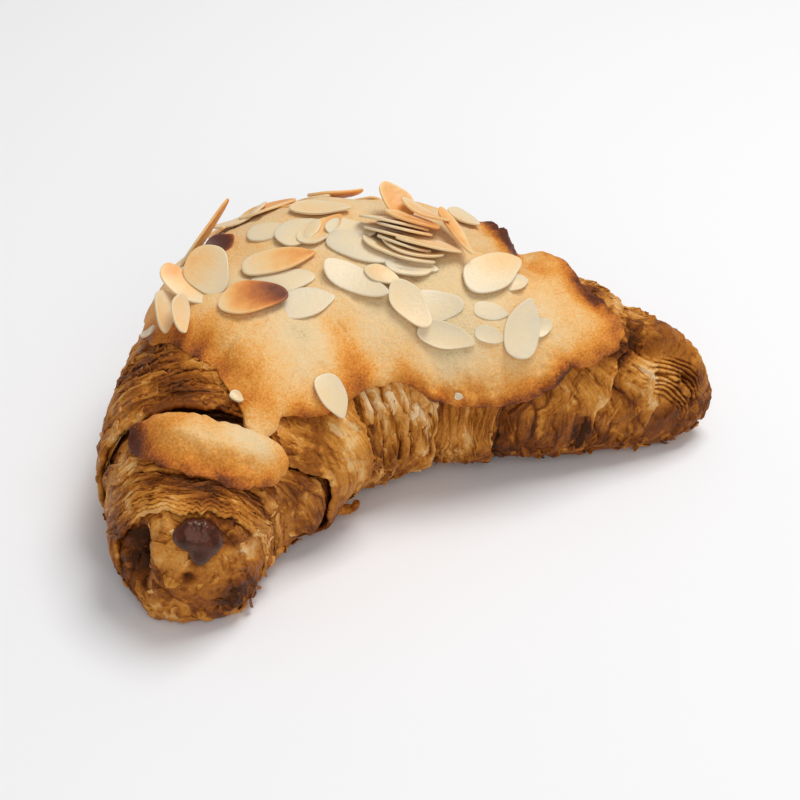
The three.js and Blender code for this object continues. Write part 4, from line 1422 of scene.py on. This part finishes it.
def peel_shell(surface, at, steps, length, width, turn, curl, tint, draws):
    """A peeling plate of crust: an uneven many-sided outline laid along the wrap, one side sunk into it and
    the other standing up. The surface has columns for the point, the way out, the bake and the grain."""
    angle = corner_angles(PEEL_SIDES, draws)
    jag = draws.uniform(*PEEL_JAG, PEEL_SIDES)
    u = PEEL_SHARES * jag * np.cos(angle)
    v = PEEL_SHARES * jag * np.sin(angle)
    x = length / 2 * u * np.cos(turn) - width / 2 * v * np.sin(turn)
    y = length / 2 * u * np.sin(turn) + width / 2 * v * np.cos(turn)
    place = between_points(surface, at[0] + y / steps[0], at[1] + x / steps[1])
    stand = PEEL_LIFT + PEEL_LEVELS + curl * np.maximum(v, 0) ** 2 - PEEL_SINK * np.maximum(-v, 0)
    points = place[..., 0:3] + place[..., 3:6] * stand[..., None]
    points[..., 2] = np.maximum(points[..., 2], 0)
    bake = place[..., 6] + tint - PEEL_PALE_RIM * PEEL_SHARES**8
    ends = points[0].mean(axis=0), points[-1].mean(axis=0)
    return points, *ends, dict(bake=bake, grain=place[..., 7:10])


def wrap_peels(index, wrap, draws):
    """Peeling plates of one wrap, at seeded places where its dough is bare."""
    points = np.stack([soften(wrap.points[..., k], *PEEL_BED) for k in range(3)], -1)
    along = np.gradient(points, axis=0)
    around = (np.roll(points, -1, axis=1) - np.roll(points, 1, axis=1)) / 2
    row_step, col_step = np.linalg.norm(along, axis=-1), np.linalg.norm(around, axis=-1)
    out = unit(np.cross(around, along))
    surface = np.concatenate([points, out, wrap.bake[..., None], wrap.grain], -1)
    degrees = np.degrees(wrap.phi)
    bare = ~(layer_covers(wrap.t, degrees, SHEET_EDGE) | layer_covers(wrap.t, degrees, PAD_EDGE))
    bare &= (wrap.room > PEEL_ROOM) & (points[..., 2] > PEEL_ABOVE) & (col_step > PEEL_LEAST_STEP)
    shells = []
    for wrap_index, count, reach, lengths, widths, turns, curl, shades in PEELS:
        if wrap_index != index:
            continue
        weight = bare * (degrees >= reach[0]) * (degrees < reach[1]) * row_step * col_step
        for pick in draws.choice(weight.size, count, p=weight.ravel() / weight.sum()):
            at = np.unravel_index(pick, weight.shape)
            steps = row_step[at], col_step[at]
            length, width, turn, shade = (draws.uniform(*span) for span in (lengths, widths, turns, shades))
            stand = curl * draws.uniform(*PEEL_CURL)
            shell = peel_shell(surface, at, steps, length, width, np.radians(turn), stand, shade, draws)
            shells.append(shell)
    return shells


def shard_places(draws):
    """t, degrees and lift of the shards: at the wraps' free edges and along the hem."""
    places = []
    for k in range(EDGE_SHARDS + HEM_SHARDS):
        bare = BARE_FRONT if draws.uniform() < SHARDS_IN_FRONT else BARE_BACK
        degrees = draws.uniform(*bare)
        t = draws.uniform(*SHARD_T)
        if k < EDGE_SHARDS:
            edge = WRAP_EDGES[draws.integers(len(WRAP_EDGES))]
            t = edge_line(edge, np.radians(degrees)) - edge.way * draws.uniform(*FROM_EDGE) / RUN
            lift = edge.step / 2
        else:
            degrees = draws.uniform(*HEM)
            lift = HEM_LIFT
        places.append((t, degrees, lift))
    return places


def shard_shell(t, degrees, lift, draws):
    """A shard of crust: an uneven many-sided plate, thin at its rim, tipped out of the dough."""
    angle = corner_angles(SHARD_SIDES, draws)
    length = draws.uniform(*SHARD_LENGTH)
    width = length * draws.uniform(*SHARD_SLIM)
    jag = draws.uniform(*SHARD_JAG, SHARD_SIDES)
    x = SHARD_SHARES * jag * np.cos(angle) * length / 2
    y = SHARD_SHARES * jag * np.sin(angle) * width / 2
    z = SHARD_LEVELS + draws.uniform(*SHARD_BEND) * (2 * x / length) ** 2
    turn, pitch, lean = (draws.uniform(*span) for span in (SHARD_TURN, SHARD_PITCH, SHARD_LEAN))
    place = axes_at(t, degrees) @ turn_matrix(2, turn) @ turn_matrix(1, -pitch) @ turn_matrix(0, lean)
    wrap = sum(edge_line(edge, np.radians(degrees)) < t for edge in WRAP_EDGES)
    seat = place_above(t, degrees, lift - hollow_depth(wrap, spot(t, degrees)))
    points = np.stack([x, y, z], -1) @ place.T + seat
    points[..., 2] = np.maximum(points[..., 2], 0)
    bake = np.full(points.shape[:2], crust_bake(seat) + draws.uniform(*SHARD_SHADE))
    middle = place @ np.array([0, 0, SHARD_THICK / 2])
    return points, seat + middle, seat - middle, dict(bake=bake, grain=points)


def curl_shell():
    """The curl at the front hem: a thick strip that narrows towards its end, carried along a path that leaves
    the dough and turns up ever more."""
    along, _, out = axes_at(CURL_T, CURL_DEG).T
    seat = place_above(CURL_T, CURL_DEG, -hollow_depth(CURL_WRAP, spot(CURL_T, CURL_DEG)))
    heading = unit(CURL_ALONG * along + CURL_OUT * out)
    up = np.array([0.0, 0.0, 1.0])
    rise = unit(up - (up @ heading) * heading)
    across = np.cross(heading, rise)
    share = np.linspace(0, 1, CURL_ROWS)[:, None]
    bend = np.radians(CURL_TURN) * share**2
    path = np.cumsum(np.cos(bend) * heading + np.sin(bend) * rise, axis=0) * CURL_LENGTH / CURL_ROWS
    upper = np.cos(bend) * rise - np.sin(bend) * heading
    angle = np.arange(CURL_SIDES) / CURL_SIDES * TURN
    half_width = CURL_WIDTH / 2 * (1 - CURL_TAPER * share) * np.cos(angle)
    half_thick = CURL_THICK / 2 * (1 - CURL_TAPER * share) * np.sin(angle)
    middle = seat + CURL_START * heading + path
    points = middle[:, None] + half_width[..., None] * across + half_thick[..., None] * upper[:, None]
    points = points + CURL_LUMPS * bump_noise(points, CURL_LUMP_SIZE, CURL_LUMP_SEED)[..., None] * up
    bake = CURL_BAKE + CURL_MOTTLE * bump_noise(points, CURL_MOTTLE_SIZE, CURL_MOTTLE_SEED)
    return points, middle[0], middle[-1], dict(bake=bake, grain=points)


def all_shards():
    """The seeded shards and the curl at the front hem."""
    draws = np.random.default_rng(SHARD_SEED)
    return [shard_shell(*place, draws) for place in shard_places(draws)] + [curl_shell()]


def drop_shell():
    """The caramel drop: a low lumpy dome with a wavering outline, its foot set into the dough."""
    along, sideways, out = axes_at(DROP_T, DROP_DEG).T
    seat = spot(DROP_T, DROP_DEG)
    angle = np.arange(DROP_SIDES) / DROP_SIDES * TURN
    ring = np.stack([np.cos(angle), np.sin(angle), 0 * angle], -1)
    waver = 1 + DROP_WAVER * bump_noise(ring, DROP_WAVER_SIZE, DROP_WAVER_SEED)
    outline = through(DROP_REACH, angle / TURN, closed=True)[:, 0] * waver
    rise = np.radians(np.linspace(DROP_TOP, DROP_RIM, DROP_ROWS))[:, None]
    radius = np.vstack([np.sin(rise) * outline, outline * DROP_FOOT, outline * DROP_UNDER])
    dome = DROP_HEIGHT * np.cos(rise) ** DROP_CROWN + 0 * outline
    height = np.vstack([dome, 0 * outline - DROP_SINK, 0 * outline - DROP_BED])
    flat = radius[..., None] * (np.cos(angle)[:, None] * along + np.sin(angle)[:, None] * sideways)
    height = height + (height > 0) * DROP_LUMPS * bump_noise(flat + seat, DROP_LUMP_SIZE, DROP_LUMP_SEED)
    points = seat + flat + height[..., None] * out
    return points, seat + out * DROP_HEIGHT, seat - out * DROP_BED, {}


def build_croissant():
    """All pieces of the croissant: the dough's, the cream's with its almonds, and the drop."""
    crust = crust_finish()
    draws = np.random.default_rng(PEEL_SEED)
    peels = []
    for index in range(len(WRAPS)):
        wrap = wrap_surface(index)
        shell = (wrap.points, *wrap.poles, dict(bake=wrap.bake, grain=wrap.grain))
        make_piece(f"wrap_{index}", [shell], crust, "dough")
        peels += wrap_peels(index, wrap, draws)
    make_piece("crust_peels", peels, crust, "dough", flip=True, smooth=False)
    make_piece("shoulder_flap", [flap_shell()], crust, "dough")
    make_piece("crust_shards", all_shards(), crust, "dough", flip=True, smooth=False)
    cream = cream_finish()
    sheet = cream_shell(SHEET_CENTRE, SHEET_EDGE, CREAM, SHEET_BROWN, SHEET_COLUMNS, SHEET_SEED)
    pad = cream_shell(PAD_CENTRE, PAD_EDGE, PAD, PAD_BROWN, PAD_COLUMNS, PAD_SEED)
    make_piece("cream_sheet", [sheet], cream, "almond_cream", flip=True)
    make_piece("cream_pad", [pad], cream, "almond_cream", flip=True)
    make_piece("flaked_almonds", all_flakes(), almond_finish(), "almond_cream", flip=True)
    make_piece("caramel_drop_dome", [drop_shell()], caramel_finish(), "caramel_drop", flip=True)


def add_floor():
    """A pale floor under the croissant."""
    mesh = bpy.data.meshes.new("floor")
    corners = [(x * FLOOR_HALF, y * FLOOR_HALF, 0) for x, y in ((-1, -1), (1, -1), (1, 1), (-1, 1))]
    mesh.from_pydata(corners, [], [(0, 1, 2, 3)])
    finish = Finish("pale_floor")
    finish.shader.inputs["Base Color"].default_value = linear(*FLOOR_TONE)
    finish.shader.inputs["Roughness"].default_value = 0.9
    mesh.materials.append(finish.material)
    floor = bpy.data.objects.new("floor", mesh)
    bpy.context.scene.collection.objects.link(floor)


def add_light():
    """A white room and soft lamps above."""
    world = bpy.data.worlds.new("soft_room")
    world.use_nodes = True
    room = world.node_tree.nodes["Background"]
    room.inputs["Color"].default_value = (1, 1, 1, 1)
    room.inputs["Strength"].default_value = ROOM_LIGHT
    bpy.context.scene.world = world
    bpy.context.scene.view_settings.view_transform = "Standard"
    for name, place, power, size in LAMPS:
        lamp = bpy.data.lights.new(name, "AREA")
        lamp.energy = power
        lamp.size = size
        holder = bpy.data.objects.new(name, lamp)
        holder.location = place
        holder.rotation_euler = (LAMP_AIM - Vector(place)).to_track_quat("-Z", "Y").to_euler()
        bpy.context.scene.collection.objects.link(holder)


def add_camera():
    """The photograph's camera, at its distance from the point that it looks at."""
    azimuth, elevation = np.radians(CAMERA_AZIMUTH), np.radians(CAMERA_ELEVATION)
    back = Vector((
        np.sin(azimuth) * np.cos(elevation),
        -np.cos(azimuth) * np.cos(elevation),
        np.sin(elevation),
    ))
    lens = bpy.data.cameras.new("photo_camera")
    lens.lens = CAMERA_LENS
    lens.sensor_width = CAMERA_SENSOR
    lens.clip_start = CAMERA_NEAREST
    camera = bpy.data.objects.new("photo_camera", lens)
    camera.location = CAMERA_AIM + back * CAMERA_DISTANCE
    camera.rotation_euler = (-back).to_track_quat("-Z", "Y").to_euler()
    bpy.context.scene.collection.objects.link(camera)
    bpy.context.scene.camera = camera


def build_stage():
    """Floor, light and camera."""
    add_floor()
    add_light()
    add_camera()


build_croissant()
build_stage()
